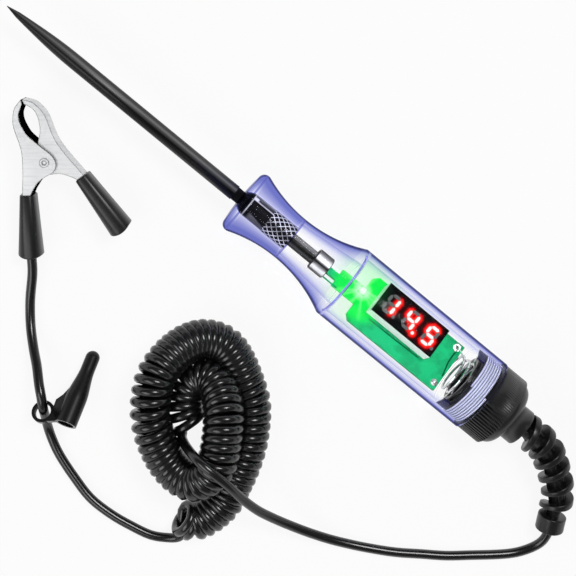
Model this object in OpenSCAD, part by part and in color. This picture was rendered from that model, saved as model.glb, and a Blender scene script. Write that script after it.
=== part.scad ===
// Hand-held test light with a voltage display, a curly cord and a ground clip.
// The handle lies along X on the floor, probe towards +X. All sizes are in millimetres.

/* [Probe] */
// Length of the probe that stands out of the handle
probe_len = 86.9; // [70:0.1:100]
// Diameter of the probe shaft
probe_d = 4.7; // [4:0.1:5]
// Length of the tapered front of the probe, point included
taper_len = 25; // [15:1:35]
// Length of the short sharp point
point_len = 4; // [3:0.5:6]
// Diameter where the sharp point meets the long taper
point_d = 1.9; // [1.4:0.1:2.4]
// Flat left at the very tip
tip_d = 0.2; // [0.1:0.1:0.6]
// How much thinner the probe's root is than its shaft
root_step = 0.5; // [0.4:0.1:1]
// How far the thinner root shows in front of the handle
root_bare_len = 2; // [1:0.1:3]

/* [Ferrule and contact] */
// Diameter of the turned ferrule that holds the probe in the nose
ferrule_d = 7.4; // [6.8:0.1:8]
// Depth of the ferrule behind the front face
ferrule_depth = 0.9; // [0.5:0.1:2]
// Radius of the ferrule's rounded front edge
ferrule_round = 2.5; // [1.5:0.1:2.8]
// Distance across the two wrench flats
flats_across = 6.4; // [5.6:0.1:6.6]
// Length of the wrench flats
flats_len = 7.2; // [5:0.1:9]
// Diameter over the knurl
knurl_d = 7.6; // [7:0.1:8.2]
// Diameter of the rod between ferrule and cup
rod_d = 4.2; // [3.4:0.1:4.8]
// Distance between ferrule and cup
rod_gap = 9.2; // [6:0.1:12]
// How deep a shaft sits in its socket
socket_depth = 3; // [2:0.5:4]
// Diameter of the contact cup
cup_d = 6.9; // [6:0.1:8]
// Length of the contact cup
cup_len = 5.4; // [5:0.1:7]

/* [Handle shell] */
// Outside diameter of the handle
handle_d = 24; // [22:0.5:26]
// Length of the clear shell
handle_len = 93.3; // [88:0.1:100]
// Wall around the display bay
handle_wall = 2.2; // [1.8:0.1:2.6]
// Diameter of the front lip
lip_d = 20.4; // [19:0.1:21]
// Rounding of the front lip
lip_round = 2.2; // [1.6:0.1:2.6]
// Height of the slightly domed front face
face_crown = 0.5; // [0.3:0.1:0.8]
// Diameter at the narrowest place of the neck
waist_d = 14.4; // [13.6:0.1:15.4]
// Radius of the hollow curve of the neck
neck_sweep = 44; // [40:1:48]
// Bore of the neck next to the solid nose
neck_bore_front_d = 10.8; // [10:0.1:11.4]
// Bore of the neck next to the display bay
neck_bore_rear_d = 15; // [14:0.1:16]
// Distance from the neck's end to the display bay
bay_setback = 1.6; // [1:0.1:3]
// Bore of the rear socket for the cap
socket_bore_d = 20.8; // [20.4:0.1:21.2]
// Length of the rear socket for the cap
socket_bore_len = 9.8; // [8:0.1:12]

/* [Circuit board] */
// Width of the circuit board
board_w = 16.4; // [15:0.1:17]
// Length of the wide part of the board
board_len = 34.8; // [32:0.1:37]
// Thickness of the board
board_t = 1.6; // [1:0.1:1.8]
// Distance from the cup to the wide part of the board
board_gap = 12.4; // [10:0.1:14]
// Width of the board's tongue
tongue_w = 2.2; // [1.8:0.1:2.6]
// Width of the step between tongue and board
step_w = 6; // [5:0.1:8]
// Length of that step
step_len = 8.6; // [6:0.1:9]
// Turn of the board about the handle's axis
board_roll = 16; // [0:1:30]
// Corner chamfer of the board
board_chamfer = 1.5; // [0.5:0.1:2.5]

/* [Display] */
// Length of the display case
display_len = 22.5; // [20:0.1:24]
// Width of the display case
display_w = 10; // [8:0.1:11]
// Height of the display case with its face
display_h = 6.2; // [5:0.1:6.6]
// Thickness of the dark face
face_t = 0.4; // [0.3:0.1:0.8]
// Distance from the board's front edge to the display
display_setback = 4.2; // [3:0.1:6]
// Shift of the display off the board's middle line
display_shift = 2.2; // [1.5:0.1:2.6]
// Height of one digit
digit_h = 6.4; // [5.5:0.1:7]
// Width of one digit
digit_w = 3.9; // [3.2:0.1:4.4]
// Distance from one digit to the next
digit_pitch = 7.4; // [6.8:0.1:7.6]
// Width of a segment
segment_w = 0.95; // [0.7:0.05:1.1]
// Slant of the digits
digit_slant = 4; // [0:1:10]
// Diameter of a decimal dot
dot_d = 1; // [0.7:0.1:1.2]

/* [Rear contact] */
// Outside diameter of the contact spring
spring_d = 12.3; // [11:0.1:13]
// Wire of the contact spring
spring_wire_d = 0.8; // [0.6:0.1:1]
// Turns of the contact spring
spring_turns = 6; // [4:1:7]
// Outside diameter of the sleeve that seats the spring
seat_d = 15.8; // [15:0.1:16.4]
// Wall of that sleeve
seat_wall = 1.2; // [1:0.1:1.3]
// How far the sleeve stands out of the cap's spigot
seat_proud = 1; // [0.5:0.1:2]
// Thickness of the cord's end plate
terminal_t = 0.8; // [0.5:0.1:1.2]

/* [Rear cap] */
// Diameter of the ribbed grip
grip_d = 23.4; // [21.6:0.1:24]
// Length of the ribbed grip
grip_len = 8; // [6:0.1:10]
// Diameter where the dome starts
dome_d = 21.4; // [19:0.1:21.6]
// Length of the domed end
dome_len = 3.2; // [2.4:0.1:4]
// Diameter of the gland
gland_d = 11.8; // [10.4:0.1:12.4]
// Length of the gland
gland_len = 5.2; // [4:0.1:7]
// Length of the spigot inside the handle
spigot_len = 6.8; // [5:0.1:7.4]
// Angle between two grooves of the grip
groove_step = 5.2; // [4:0.1:8]
// Depth of a groove
groove_depth = 0.45; // [0.3:0.05:0.6]
// Angle that each of the two smooth panels covers
panel_angle = 84; // [60:1:100]
// Turn of the smooth panels about the axis
panel_turn = 36; // [0:1:60]

/* [Strain relief] */
// Diameter of the spiral flange at the cap
flange_d = 11.3; // [10.8:0.1:12]
// Diameter of the spiral flange at the cord
flange_end_d = 9.4; // [9:0.1:10.4]
// Diameter of the core
core_d = 5.2; // [4.6:0.1:6]
// Turns of the spiral flange
flange_turns = 5.7; // [4:0.1:5.7]
// Distance from one turn to the next
flange_pitch = 5.2; // [4.4:0.1:5.2]
// Diameter of the end collar
collar_d = 9; // [8:0.1:9.4]
// Length of the end collar
collar_len = 5.5; // [4.6:0.1:6]

/* [Cord] */
// Diameter of the cord
cord_d = 3; // [2.8:0.1:3]
// Outside diameter of the curly stretch
coil_d = 12.5; // [11.5:0.1:13]
// Outside diameter of the curly stretch at its end near the clip
coil_end_d = 11.5; // [11:0.1:12.5]

/* [Probe cover] */
// Length of the rubber cover for the probe's point
cover_len = 24.1; // [22:0.1:26]
// Diameter of the closed end
cover_tip_d = 4.3; // [4:0.1:4.8]
// Diameter of the open mouth
cover_mouth_d = 6.5; // [6.3:0.1:7]
// Bore of the cover
cover_bore_d = 4.9; // [4.8:0.1:5]
// Outside diameter of the ring that hangs on the cord
ring_d = 7; // [6.8:0.1:7.6]
// Hole of that ring
ring_hole_d = 5; // [4.8:0.1:5.2]
// Thickness of the ring and its web
ring_t = 1.4; // [1.2:0.1:1.6]
// Distance from the cover's axis to the ring
ring_reach = 8.2; // [7.8:0.1:8.6]

/* [Ground clip] */
// Height of the outer clip half
clip_h = 8.2; // [7.6:0.1:8.6]
// Sheet thickness of both clip halves
sheet_t = 0.6; // [0.4:0.05:0.7]
// Clearance between the nested halves
nest_gap = 0.15; // [0.1:0.05:0.3]
// Diameter of the rivet
rivet_d = 2.1; // [1.8:0.1:2.4]
// Height of a rivet head
rivet_head_h = 0.3; // [0.2:0.05:0.4]
// Angle of the arm that holds the cord
cord_arm_angle = 18; // [14:1:22]
// Angle of the free arm
free_arm_angle = 17; // [14:1:22]
// Length of the boot on the cord's arm
cord_boot_len = 19.2; // [16.5:0.1:19.5]
// Length of the boot on the free arm
free_boot_len = 20.2; // [16:0.1:22]
// Width of a boot at the clip
boot_front_w = 4.6; // [4.4:0.1:5.2]
// Width of a boot at its rear end
boot_rear_w = 7.4; // [6.6:0.1:7.8]
// Height of a boot
boot_h = 8.4; // [7.6:0.1:8.6]
// Wire of the clip's spring
clip_wire_d = 0.6; // [0.4:0.05:0.7]
// Turns of the clip's spring
clip_spring_turns = 5; // [3:1:5]
// Mean diameter of the clip's spring
clip_spring_d = 4; // [3.6:0.1:4.6]

/* [Hidden] */
$fn = 64;
// Clearances: a snug fit, a sliding fit, a thread, a soldered or glued gap and a cut that runs past its face
snug = 0.05;
slide = 0.1;
thread_gap = 0.3;
joint_gap = 0.02;
past = 1;

// Diameter of the probe's root in the ferrule
root_d = probe_d - root_step;

// Places along the axis
overall_len = probe_len + handle_len + grip_len + dome_len + gland_len;
axis_z = handle_d / 2;
tip_x = overall_len / 2;
front_x = tip_x - probe_len;
rear_x = front_x - handle_len;
grip_end_x = rear_x - grip_len;
dome_end_x = grip_end_x - dome_len;
gland_end_x = dome_end_x - gland_len;

// The neck curve leans on the lip's round edge, so the waist lies where the two circles touch
lip_mid_r = lip_d / 2 - lip_round;
sweep_mid_r = waist_d / 2 + neck_sweep;
lip_mid_d = face_crown + lip_round;
neck_reach = sqrt(pow(neck_sweep + lip_round, 2) - pow(sweep_mid_r - lip_mid_r, 2));
waist_at = lip_mid_d + neck_reach;
lip_end_d = lip_mid_d + lip_round * neck_reach / (neck_sweep + lip_round);
shoulder_at = waist_at + sqrt(pow(neck_sweep, 2) - pow(sweep_mid_r - handle_d / 2, 2));
crown_r = (pow(lip_mid_r, 2) + pow(face_crown, 2)) / (2 * face_crown);
bay_at = shoulder_at + bay_setback;
bay_r = handle_d / 2 - handle_wall;

// The solid nose ends at the waist, and so does the ferrule
nose_len = waist_at;
ferrule_edge_at = ferrule_depth + ferrule_round;
knurl_at = ferrule_edge_at + flats_len;
cup_x = front_x - nose_len - rod_gap;
cup_rear_x = cup_x - cup_len;
rod_inset = 2;

// Board: x runs against the axis from the cup, and the display's outer top edge sits close under the bay's wall
display_gap = 0.2;
board_top = sqrt(pow(bay_r - display_gap, 2) - pow(display_shift + display_w / 2, 2)) - display_h;
tongue_inset = 2.6;
board_x = cup_rear_x - board_gap;
board_rear_x = board_x - board_len;
display_x = board_x - display_setback;
display_mid_x = display_x - display_len / 2;
case_h = display_h - face_t;
segment_t = 0.1;
segment_gap = 0.16;
pin_size = 0.5;
pin_pitch = 2.54;
pin_rows = 7.6;
pin_len = 2.4;
pin_count = 6;
led_setback = 0.4;
led_shift = -1.6;
led_size = 2.4;
led_base_h = 0.9;
lens_d = 1.9;
pad_d = 2.4;
pad_hole_d = 1.3;
pad_h = 0.25;
upper_pad = [board_rear_x + 2, -board_w / 2 + 1.6];
lower_pad = [board_rear_x + 1.4, board_w / 2 - 2];
chip_len = 9.4;
chip_body_w = 3.9;
chip_w = 6;
chip_h = 1.5;
chip_legs = 8;
leg_w = 0.42;
leg_t = 0.25;
leg_pitch = 1.1;
regulator_size = [4.4, 6.4, 1.7];
regulator_setback = 4.8;
resistor_size = [1.2, 2, 0.6];
resistor_count = 5;
resistor_pitch = 2.4;
resistor_setback = 24;
capacitor_d = 5;
capacitor_len = 6;
capacitor_setback = 1.4;
capacitor_shift = -2;
dome_share = 0.35;

// Rear contact: the cap's floor carries the seat and the cord's end plate
spigot_front_x = rear_x + spigot_len;
cap_floor_x = rear_x - 1.6;
seat_front_x = spigot_front_x + seat_proud;
seat_bore_d = seat_d - 2 * seat_wall;
seat_floor_t = 0.8;
spring_front_x = board_rear_x - spring_wire_d / 2 - 0.1;
spring_rear_x = cap_floor_x + seat_floor_t + terminal_t + spring_wire_d / 2 + joint_gap;
spring_mean_r = (spring_d - spring_wire_d) / 2;
spring_steps = 16;
terminal_d = seat_bore_d - 2 * slide;
stem_d = 3.6;
relief_plug_len = 6;
plug_x = gland_end_x + relief_plug_len;

// Strain relief: it bends down towards the floor and back along the handle
relief_route = [
    [gland_end_x, 0, axis_z], [-103, -0.5, 12], [-107.5, 0, 11.5], [-112, 2, 10.5], [-116, 4.5, 9.5],
    [-119.5, 7, 8.5], [-122.5, 10.5, 7.5], [-124.5, 14.5, 6.5], [-127, 18.5, 5]
];
relief_len = route_length(relief_route);
flange_start = 0.9;
flange_sides = 16;
flange_share = 0.31;
flange_phase = 0.28;

// Cord route in straight and curly stretches, all resting on or above the floor
cord_r = cord_d / 2;
coil_r = coil_d / 2;
to_coil_route = [
    [-127, 18.5, 5], [-128, 20.5, 4.2], [-128.5, 23.5, 3], [-127.5, 27, 2], [-125, 31, cord_r],
    [-121, 35, cord_r], [-114.5, 40.5, cord_r], [-108.5, 45.5, cord_r], [-102, 50, cord_r],
    [-95.5, 54.5, cord_r], [-88.5, 58.5, cord_r], [-82.5, 61.5, 1.7], [-76.5, 64, 2.6],
    [-70, 66, 4.5], [-63.5, 67.5, 7], [-57.5, 68.5, 10], [-51.5, 69, 13.5], [-45, 68.5, 17.5],
    [-39, 67.5, 21], [-33, 67, 23.2], [-28, 67, 22.6], [-24.5, 67, 19], [-22, 67, 13.5],
    [-20.5, 66.5, 9.5], [-19.5, 64.5, 7.5]
];
coil_widening = 4;
coil_route = [
    [-36, 86, 7.5], [-39.5, 85.5, coil_r], [-41.5, 82.5, coil_r], [-42.5, 79, coil_r],
    [-43, 74.5, coil_r], [-42, 69.5, coil_r], [-40.5, 63.5, coil_r], [-38, 57, coil_r],
    [-34.5, 51, coil_r], [-30.5, 46, coil_r], [-25.5, 42.5, coil_r], [-19, 39, coil_r],
    [-13, 37.5, 6.5], [-7.5, 39.5, 7.5], [-4, 44, 9.5], [-2.5, 50.5, 11.5], [-3, 57, 13],
    [-6, 63, 13], [-10.5, 68.5, 12], [-17, 73, 11], [-24, 75.5, 11], [-30, 75, 12.5],
    [-33, 71.5, 14.5], [-33, 65.5, 16.5], [-30, 59.5, 16.5], [-26, 53.5, 15.5], [-22, 49.5, 12.5],
    [-17.5, 47.5, 9], [-13.5, 49.5, 6.8], [-12.5, 54, coil_r], [-14.5, 58.5, coil_r],
    [-17.5, 61.5, coil_r], [-20.5, 63, coil_r]
];
to_clip_route = [
    [-40, 89.5, 4.3], [-40, 92.5, 2.4], [-37.5, 95, cord_r], [-33, 97.5, cord_r],
    [-26.5, 99, cord_r], [-19.5, 100, cord_r], [-11.5, 100, cord_r], [-3.5, 98, cord_r],
    [4, 95.5, cord_r], [9, 93, 1.6], [12.5, 90.5, 2.8], [15, 88, 5.5], [17, 86, 8.2],
    [19.5, 83.5, 9.4], [22.5, 81, 8.6], [26.5, 77.5, 6.4], [30.5, 74.5, 4], [35.5, 70, 2.2],
    [40.5, 64, 2]
];
cord_sides = 8;

// Probe cover, lying with its closed end on the floor and its ring on the cord
cover_tip = [15, 65.9];
cover_heading = 107.9;
cover_pitch = 24;
cover_roll = 22;
cover_flare_at = 6;
cover_flare_len = 10;
cover_bore_len = 11;
cover_bore_end = 4;
ring_at = cover_len - 1.8;

// Ground clip: its own frame has u towards the jaws, v towards the cord's arm and w along the rivet
clip_pivot = [62, 27.8, 8.9];
clip_heading = -31.8;
clip_pitch = 7;
clip_roll = 6;
outer_h = clip_h;
inner_h = clip_h - 2 * (sheet_t + nest_gap);
jaw_gap = 0.2;
clip_reach = 40;
spine_line = [
    [19.3, 0.1], [17.6, 2.6], [15.6, 3.9], [13.2, 4.8], [10.5, 5], [8, 5], [5.3, 5.2], [2.2, 6], [-1.6, 7.35],
    [-4.7, 8.6], [-7, 9.5], [-11, 11.2]
];
lobe_r = 3.2;
plate_line = [
    [17.9, 0.2], [17, 1], [15.6, 2.15], [13.7, 2.65], [11.5, 2.5], [9.3, 2], [7.3, 0.95], [6.1, 0.2],
    [4.2, -1], [2.4, -2.2], [1, -2.9], [-0.6, -lobe_r], [-2, -2.9], [-3.2, -1.9], [-3.7, -0.7],
    [-4.1, 1.5], [-4.8, 3.6], [-6.1, 5.4], [-7.8, 7.2], [-11, 8.6]
];
arm_start = [-7.4, 8.5];
tang_root = 1.2;
tang_len = 11;
tang_w = 1.9;
tang_h = 4.4;
boot_front_round = 1.5;
boot_rear_round = 2.8;
rivet_head_d = rivet_d + 0.7;
spring_leg_end = [-4.5, 6.2];
crimp_d = 3.8;
crimp_len = 4.4;

// Smallest vector helpers
function unit(v) = v / norm(v);
function mix(a, b, t) = a + (b - a) * t;
function route_length(p, i = 1) = i >= len(p) ? 0 : norm(p[i] - p[i - 1]) + route_length(p, i + 1);

// A smooth curve through every point of a list, at place u counted in points
function between(a, b, c, d, t) =
    0.5 * (2 * b + (c - a) * t + (2 * a - 5 * b + 4 * c - d) * t * t + (3 * b - a - 3 * c + d) * t * t * t);
function on_curve(p, u) =
    let (i = min(floor(u), len(p) - 2))
    between(i > 0 ? p[i - 1] : 2 * p[0] - p[1], p[i], p[i + 1],
        i + 2 < len(p) ? p[i + 2] : 2 * p[i + 1] - p[i], u - i);
function smooth(p, steps) = [for (k = [0 : steps * (len(p) - 1)]) on_curve(p, k / steps)];

// Directions along a path, and a sideways vector carried along it without twist
function headings(p) =
    [for (i = [0 : len(p) - 1]) unit(p[min(i + 1, len(p) - 1)] - p[max(i - 1, 0)])];
function carried(t, side, i = 0) =
    i >= len(t) ? [] : let (s = unit(side - t[i] * (side * t[i]))) concat([s], carried(t, s, i + 1));

// A closed tube along a path; radius is a function of the ring and the side
module tube(path, radius, sides = cord_sides, start_side = [0, 0, 1]) {
    t = headings(path);
    s = carried(t, start_side);
    rings = len(path);
    points = [
        for (i = [0 : rings - 1])
            let (u = cross(t[i], s[i]))
            for (j = [0 : sides - 1])
                let (a = 360 * (j + 0.5) / sides)
                path[i] + radius(i, j) * (cos(a) * s[i] + sin(a) * u)
    ];
    walls = [
        for (i = [0 : rings - 2])
            for (j = [0 : sides - 1])
                let (k = (j + 1) % sides, a = i * sides + j, b = i * sides + k)
                for (f = [[a, a + sides, b], [b, a + sides, b + sides]]) f
    ];
    last = (rings - 1) * sides;
    ends = [
        for (j = [1 : sides - 2])
            for (f = [[0, j, j + 1], [last, last + j + 1, last + j]]) f
    ];
    polyhedron(points = points, faces = concat(walls, ends), convexity = 10);
}

// Solid of revolution about the handle's axis; its profile has radius first, then distance towards the cap
module turned(x) {
    translate([x, 0, axis_z])
        rotate([0, -90, 0])
            rotate_extrude()
                children();
}

// The board's frame: x along the handle, y across the board, z up from its top face
module on_board() {
    translate([0, 0, axis_z])
        rotate([board_roll, 0, 0])
            translate([0, 0, board_top])
                children();
}

// The cover's frame: x along it from its closed end, which rests on the floor
module in_cover() {
    translate([cover_tip[0], cover_tip[1], cover_tip_d / 2])
        rotate([0, 0, cover_heading])
            rotate([0, -cover_pitch, 0])
                rotate([cover_roll, 0, 0])
                    translate([-cover_tip_d / 2, 0, 0])
                        children();
}

module in_clip() {
    translate(clip_pivot)
        rotate([0, 0, clip_heading])
            rotate([0, -clip_pitch, 0])
                rotate([-clip_roll, 0, 0])
                    children();
}

// A point of the clip's frame, turned by its roll, then its pitch, then its heading
function from_clip(p) =
    let (
        v = p[1] * cos(clip_roll) + p[2] * sin(clip_roll),
        w = p[2] * cos(clip_roll) - p[1] * sin(clip_roll),
        u = p[0] * cos(clip_pitch) - w * sin(clip_pitch)
    )
    clip_pivot + [
        u * cos(clip_heading) - v * sin(clip_heading),
        u * sin(clip_heading) + v * cos(clip_heading),
        p[0] * sin(clip_pitch) + w * cos(clip_pitch)
    ];

// Probe and contact

module probe_needle() {
    steps = 12;
    taper = [
        for (k = [0 : steps])
            let (t = k / steps)
            [mix(point_d, probe_d, sin(90 * t)) / 2, mix(point_len, taper_len, t)]
    ];
    root_at = probe_len - root_bare_len;
    end = probe_len + ferrule_depth + socket_depth;
    root = [[probe_d / 2, root_at], [root_d / 2, root_at], [root_d / 2, end], [0, end]];
    color("#1c1c1e")
        turned(tip_x)
            polygon(concat([[0, 0], [tip_d / 2, 0]], taper, root));
}

// Ferrule outline, grown by a fit so that the nose's pocket is cut with it too
module ferrule_profile(fit, end) {
    translate([0, ferrule_edge_at])
        square([ferrule_d / 2 + fit, knurl_at - ferrule_edge_at]);
    translate([0, knurl_at])
        square([knurl_d / 2 + fit, end - knurl_at]);
    intersection() {
        translate([0, ferrule_depth])
            square([ferrule_d, ferrule_round]);
        union() {
            translate([ferrule_d / 2 - ferrule_round, ferrule_edge_at])
                circle(r = ferrule_round + fit);
            translate([0, ferrule_depth])
                square([ferrule_d / 2 - ferrule_round, ferrule_round]);
        }
    }
}

module probe_ferrule() {
    color("#202022")
        difference() {
            turned(front_x)
                ferrule_profile(0, nose_len);
            turned(front_x)
                translate([0, -past])
                    square([root_d / 2 + snug, past + ferrule_depth + socket_depth + snug]);
            turned(front_x)
                translate([0, nose_len - socket_depth - snug])
                    square([rod_d / 2 + snug, socket_depth + past]);
            for (side = [-1, 1])
                translate([front_x - knurl_at, -ferrule_d / 2, axis_z + side * flats_across / 2 + (side - 1) * past / 2])
                    cube([flats_len, ferrule_d, past]);
        }
}

module contact_rod() {
    color("#2a2a2c")
        turned(front_x)
            translate([0, nose_len - socket_depth])
                square([rod_d / 2, socket_depth + rod_gap + rod_inset]);
}

module contact_cup() {
    edge = 0.3;
    color("#c8c8cc")
        difference() {
            turned(cup_x)
                polygon([
                    [0, 0], [cup_d / 2 - edge, 0], [cup_d / 2, edge], [cup_d / 2, cup_len - edge],
                    [cup_d / 2 - edge, cup_len], [0, cup_len]
                ]);
            turned(cup_x)
                translate([0, -past])
                    square([rod_d / 2 + snug, past + rod_inset + snug]);
            on_board()
                translate([cup_rear_x - past, -tongue_w / 2 - snug, -board_t - snug])
                    cube([tongue_inset + past + snug, tongue_w + 2 * snug, board_t + 2 * snug]);
        }
}

// Clear handle shell, turned in one piece

module handle_shell() {
    color("#7f86dc", 0.45)
        turned(front_x)
            difference() {
                union() {
                    intersection() {
                        square([lip_mid_r, lip_end_d]);
                        translate([0, crown_r])
                            circle(r = crown_r, $fn = 256);
                    }
                    translate([lip_mid_r, lip_mid_d])
                        circle(r = lip_round);
                    difference() {
                        translate([0, lip_end_d])
                            square([handle_d / 2, handle_len - lip_end_d]);
                        translate([sweep_mid_r, waist_at])
                            circle(r = neck_sweep, $fn = 256);
                    }
                }
                translate([-past, -past])
                    square([past + probe_d / 2 + slide, past + ferrule_edge_at]);
                ferrule_profile(snug, nose_len);
                polygon([
                    [-past, nose_len], [neck_bore_front_d / 2, nose_len], [neck_bore_rear_d / 2, bay_at],
                    [-past, bay_at]
                ]);
                translate([-past, bay_at])
                    square([past + bay_r, handle_len]);
                translate([-past, handle_len - socket_bore_len])
                    square([past + socket_bore_d / 2, handle_len]);
            }
}

// Circuit board and what is soldered to it

module circuit_board() {
    step_x = board_x + step_len;
    color("#12a565")
        on_board()
            difference() {
                translate([0, 0, -board_t])
                    linear_extrude(board_t)
                        polygon([
                            [cup_rear_x + tongue_inset, -tongue_w / 2], [step_x, -tongue_w / 2],
                            [step_x, -step_w / 2], [board_x, -step_w / 2],
                            [board_x, -board_w / 2 + board_chamfer], [board_x - board_chamfer, -board_w / 2],
                            [board_rear_x, -board_w / 2], [board_rear_x, board_w / 2],
                            [board_x - board_chamfer, board_w / 2], [board_x, board_w / 2 - board_chamfer],
                            [board_x, step_w / 2], [step_x, step_w / 2],
                            [step_x, tongue_w / 2], [cup_rear_x + tongue_inset, tongue_w / 2]
                        ]);
                for (pad = [upper_pad, lower_pad])
                    translate([pad[0], pad[1], -board_t - past])
                        cylinder(d = pad_hole_d, h = board_t + 2 * past);
                each_pin()
                    translate([0, 0, -board_t - past])
                        cylinder(d = pin_size * 2, h = board_t + 2 * past, $fn = 24);
            }
}

// Places of the display's pins, in two rows
module each_pin() {
    for (row = [-1, 1])
        for (k = [0 : pin_count - 1])
            translate([
                display_mid_x + (k - (pin_count - 1) / 2) * pin_pitch,
                -display_shift + row * pin_rows / 2,
                0
            ])
                children();
}

module display_case() {
    color("#e4e6e4")
        on_board()
            translate([display_x - display_len, -display_shift - display_w / 2, 0])
                cube([display_len, display_w, case_h]);
}

module display_face() {
    color("#111214")
        on_board()
            translate([display_x - display_len, -display_shift - display_w / 2, case_h])
                cube([display_len, display_w, face_t]);
}

// One bar of a digit with pointed ends, lying along x
module bar(length) {
    half = segment_w / 2;
    end = length / 2 - segment_gap;
    linear_extrude(segment_t)
        polygon([[-end, 0], [half - end, half], [end - half, half], [end, 0], [end - half, -half], [half - end, -half]]);
}

// Seven segments and the dot of a digit; on lists one flag for each
module digit(on) {
    x = (digit_w - segment_w) / 2;
    y = (digit_h - segment_w) / 2;
    lean = tan(digit_slant);
    places = [
        [0, y, 0, 2 * x], [x, y / 2, 90, y], [x, -y / 2, 90, y], [0, -y, 0, 2 * x],
        [-x, -y / 2, 90, y], [-x, y / 2, 90, y], [0, 0, 0, 2 * x]
    ];
    for (k = [0 : 6])
        if (on[k])
            translate([places[k][0] + lean * places[k][1], places[k][1], 0])
                rotate([0, 0, places[k][2] - (places[k][2] > 0 ? digit_slant : 0)])
                    bar(places[k][3]);
    if (on[7])
        translate([x + dot_d * 1.15, -y, 0])
            cylinder(d = dot_d, h = segment_t, $fn = 24);
}

// What the display reads, each digit as its segments a to g and the dot
reading = [
    [false, true, true, false, false, false, false, false],
    [false, true, true, false, false, true, true, true],
    [true, false, true, true, false, true, true, false]
];

// All three digits, read from the front end of the handle towards the cap
module digits(lit) {
    on_board()
        translate([display_mid_x, -display_shift, display_h])
            rotate([0, 0, 180])
                for (k = [0 : 2])
                    translate([(k - 1) * digit_pitch, 0, 0])
                        digit([for (flag = reading[k]) flag == lit]);
}

module lit_segments() {
    color("#ff5a4a")
        digits(true);
}

module unlit_segments() {
    color("#8a8c8e")
        digits(false);
}

module display_pins() {
    color("#c9c9c4")
        on_board()
            each_pin()
                translate([-pin_size / 2, -pin_size / 2, -board_t - pin_len])
                    cube([pin_size, pin_size, board_t + pin_len]);
}

module status_led() {
    color("#d8ffe0")
        on_board()
            translate([board_x + led_setback, led_shift, 0]) {
                translate([-led_size / 2, -led_size / 2, 0])
                    cube([led_size, led_size, led_base_h]);
                translate([0, 0, led_base_h])
                    difference() {
                        sphere(d = lens_d);
                        translate([-lens_d, -lens_d, -2 * lens_d])
                            cube(2 * lens_d);
                    }
            }
}

module driver_chip() {
    color("#1b1c1e")
        on_board()
            translate([display_mid_x, -display_shift, -board_t]) {
                translate([-chip_len / 2, -chip_body_w / 2, -chip_h])
                    cube([chip_len, chip_body_w, chip_h]);
                for (k = [0 : chip_legs - 1])
                    translate([(k - (chip_legs - 1) / 2) * leg_pitch - leg_w / 2, -chip_w / 2, -leg_t])
                        cube([leg_w, chip_w, leg_t]);
            }
}

module voltage_regulator() {
    color("#232427")
        on_board()
            translate([board_x - regulator_setback, board_w / 4, -board_t - regulator_size[2]])
                translate([-regulator_size[0] / 2, -regulator_size[1] / 2, 0])
                    cube(regulator_size);
}

module chip_resistors() {
    color("#2f3033")
        on_board()
            for (k = [0 : resistor_count - 1])
                translate([
                    board_x - resistor_setback - k * resistor_pitch,
                    board_w / 4 - resistor_size[1] / 2,
                    -board_t - resistor_size[2]
                ])
                    cube(resistor_size);
}

module filter_capacitor() {
    color("#30363f")
        on_board()
            translate([board_x - capacitor_setback, capacitor_shift, -board_t - capacitor_d / 2])
                rotate([0, -90, 0])
                    cylinder(d = capacitor_d, h = capacitor_len);
}

module solder_joints() {
    color("#d9dadc")
        on_board() {
            translate([upper_pad[0], upper_pad[1], 0])
                difference() {
                    cylinder(d = pad_d, h = pad_h);
                    translate([0, 0, -past])
                        cylinder(d = pad_hole_d, h = pad_h + 2 * past);
                }
            translate([lower_pad[0], lower_pad[1], 0])
                intersection() {
                    solder_dome(pad_d);
                    translate([-pad_d, -pad_d, 0])
                        cube(2 * pad_d);
                }
        }
}

// A shallow dome of solder, the top of a sphere of that width
module solder_dome(width) {
    rise = width * dome_share;
    r = (width * width / 4 + rise * rise) / (2 * rise);
    translate([0, 0, rise - r])
        sphere(r = r);
}

// Rear contact, cap and strain relief

module contact_spring() {
    count = spring_turns * spring_steps;
    start = 180 - board_roll;
    turns = [
        for (k = [0 : count])
            let (a = start + 360 * k / spring_steps)
            [mix(spring_front_x, spring_rear_x, k / count), spring_mean_r * sin(a), axis_z + spring_mean_r * cos(a)]
    ];
    color("#cfd0d2")
        tube(turns, function (i, j) spring_wire_d / 2, 6, [1, 0, 0]);
}

module spring_seat() {
    length = seat_front_x - cap_floor_x;
    color("#161618")
        turned(seat_front_x)
            difference() {
                square([seat_d / 2, length]);
                translate([-past, -past])
                    square([past + seat_bore_d / 2, past + length - seat_floor_t]);
                translate([-past, 0])
                    square([past + stem_d / 2 + slide, length + past]);
            }
}

module cord_terminal() {
    plate_x = cap_floor_x + seat_floor_t + terminal_t;
    color("#c9a24c")
        turned(plate_x) {
            square([terminal_d / 2, terminal_t]);
            square([stem_d / 2, plate_x - plug_x]);
        }
}

// Cross-section of the grip: a round with fine grooves, left smooth over two opposite panels
module grip_section() {
    groove_w = 0.6;
    difference() {
        circle(d = grip_d);
        for (half = [0, 180])
            for (a = [panel_angle / 2 : groove_step : 180 - panel_angle / 2])
                rotate(panel_turn + half + a)
                    translate([grip_d / 2 - groove_depth, -groove_w / 2])
                        square([groove_depth + past, groove_w]);
    }
}

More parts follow.
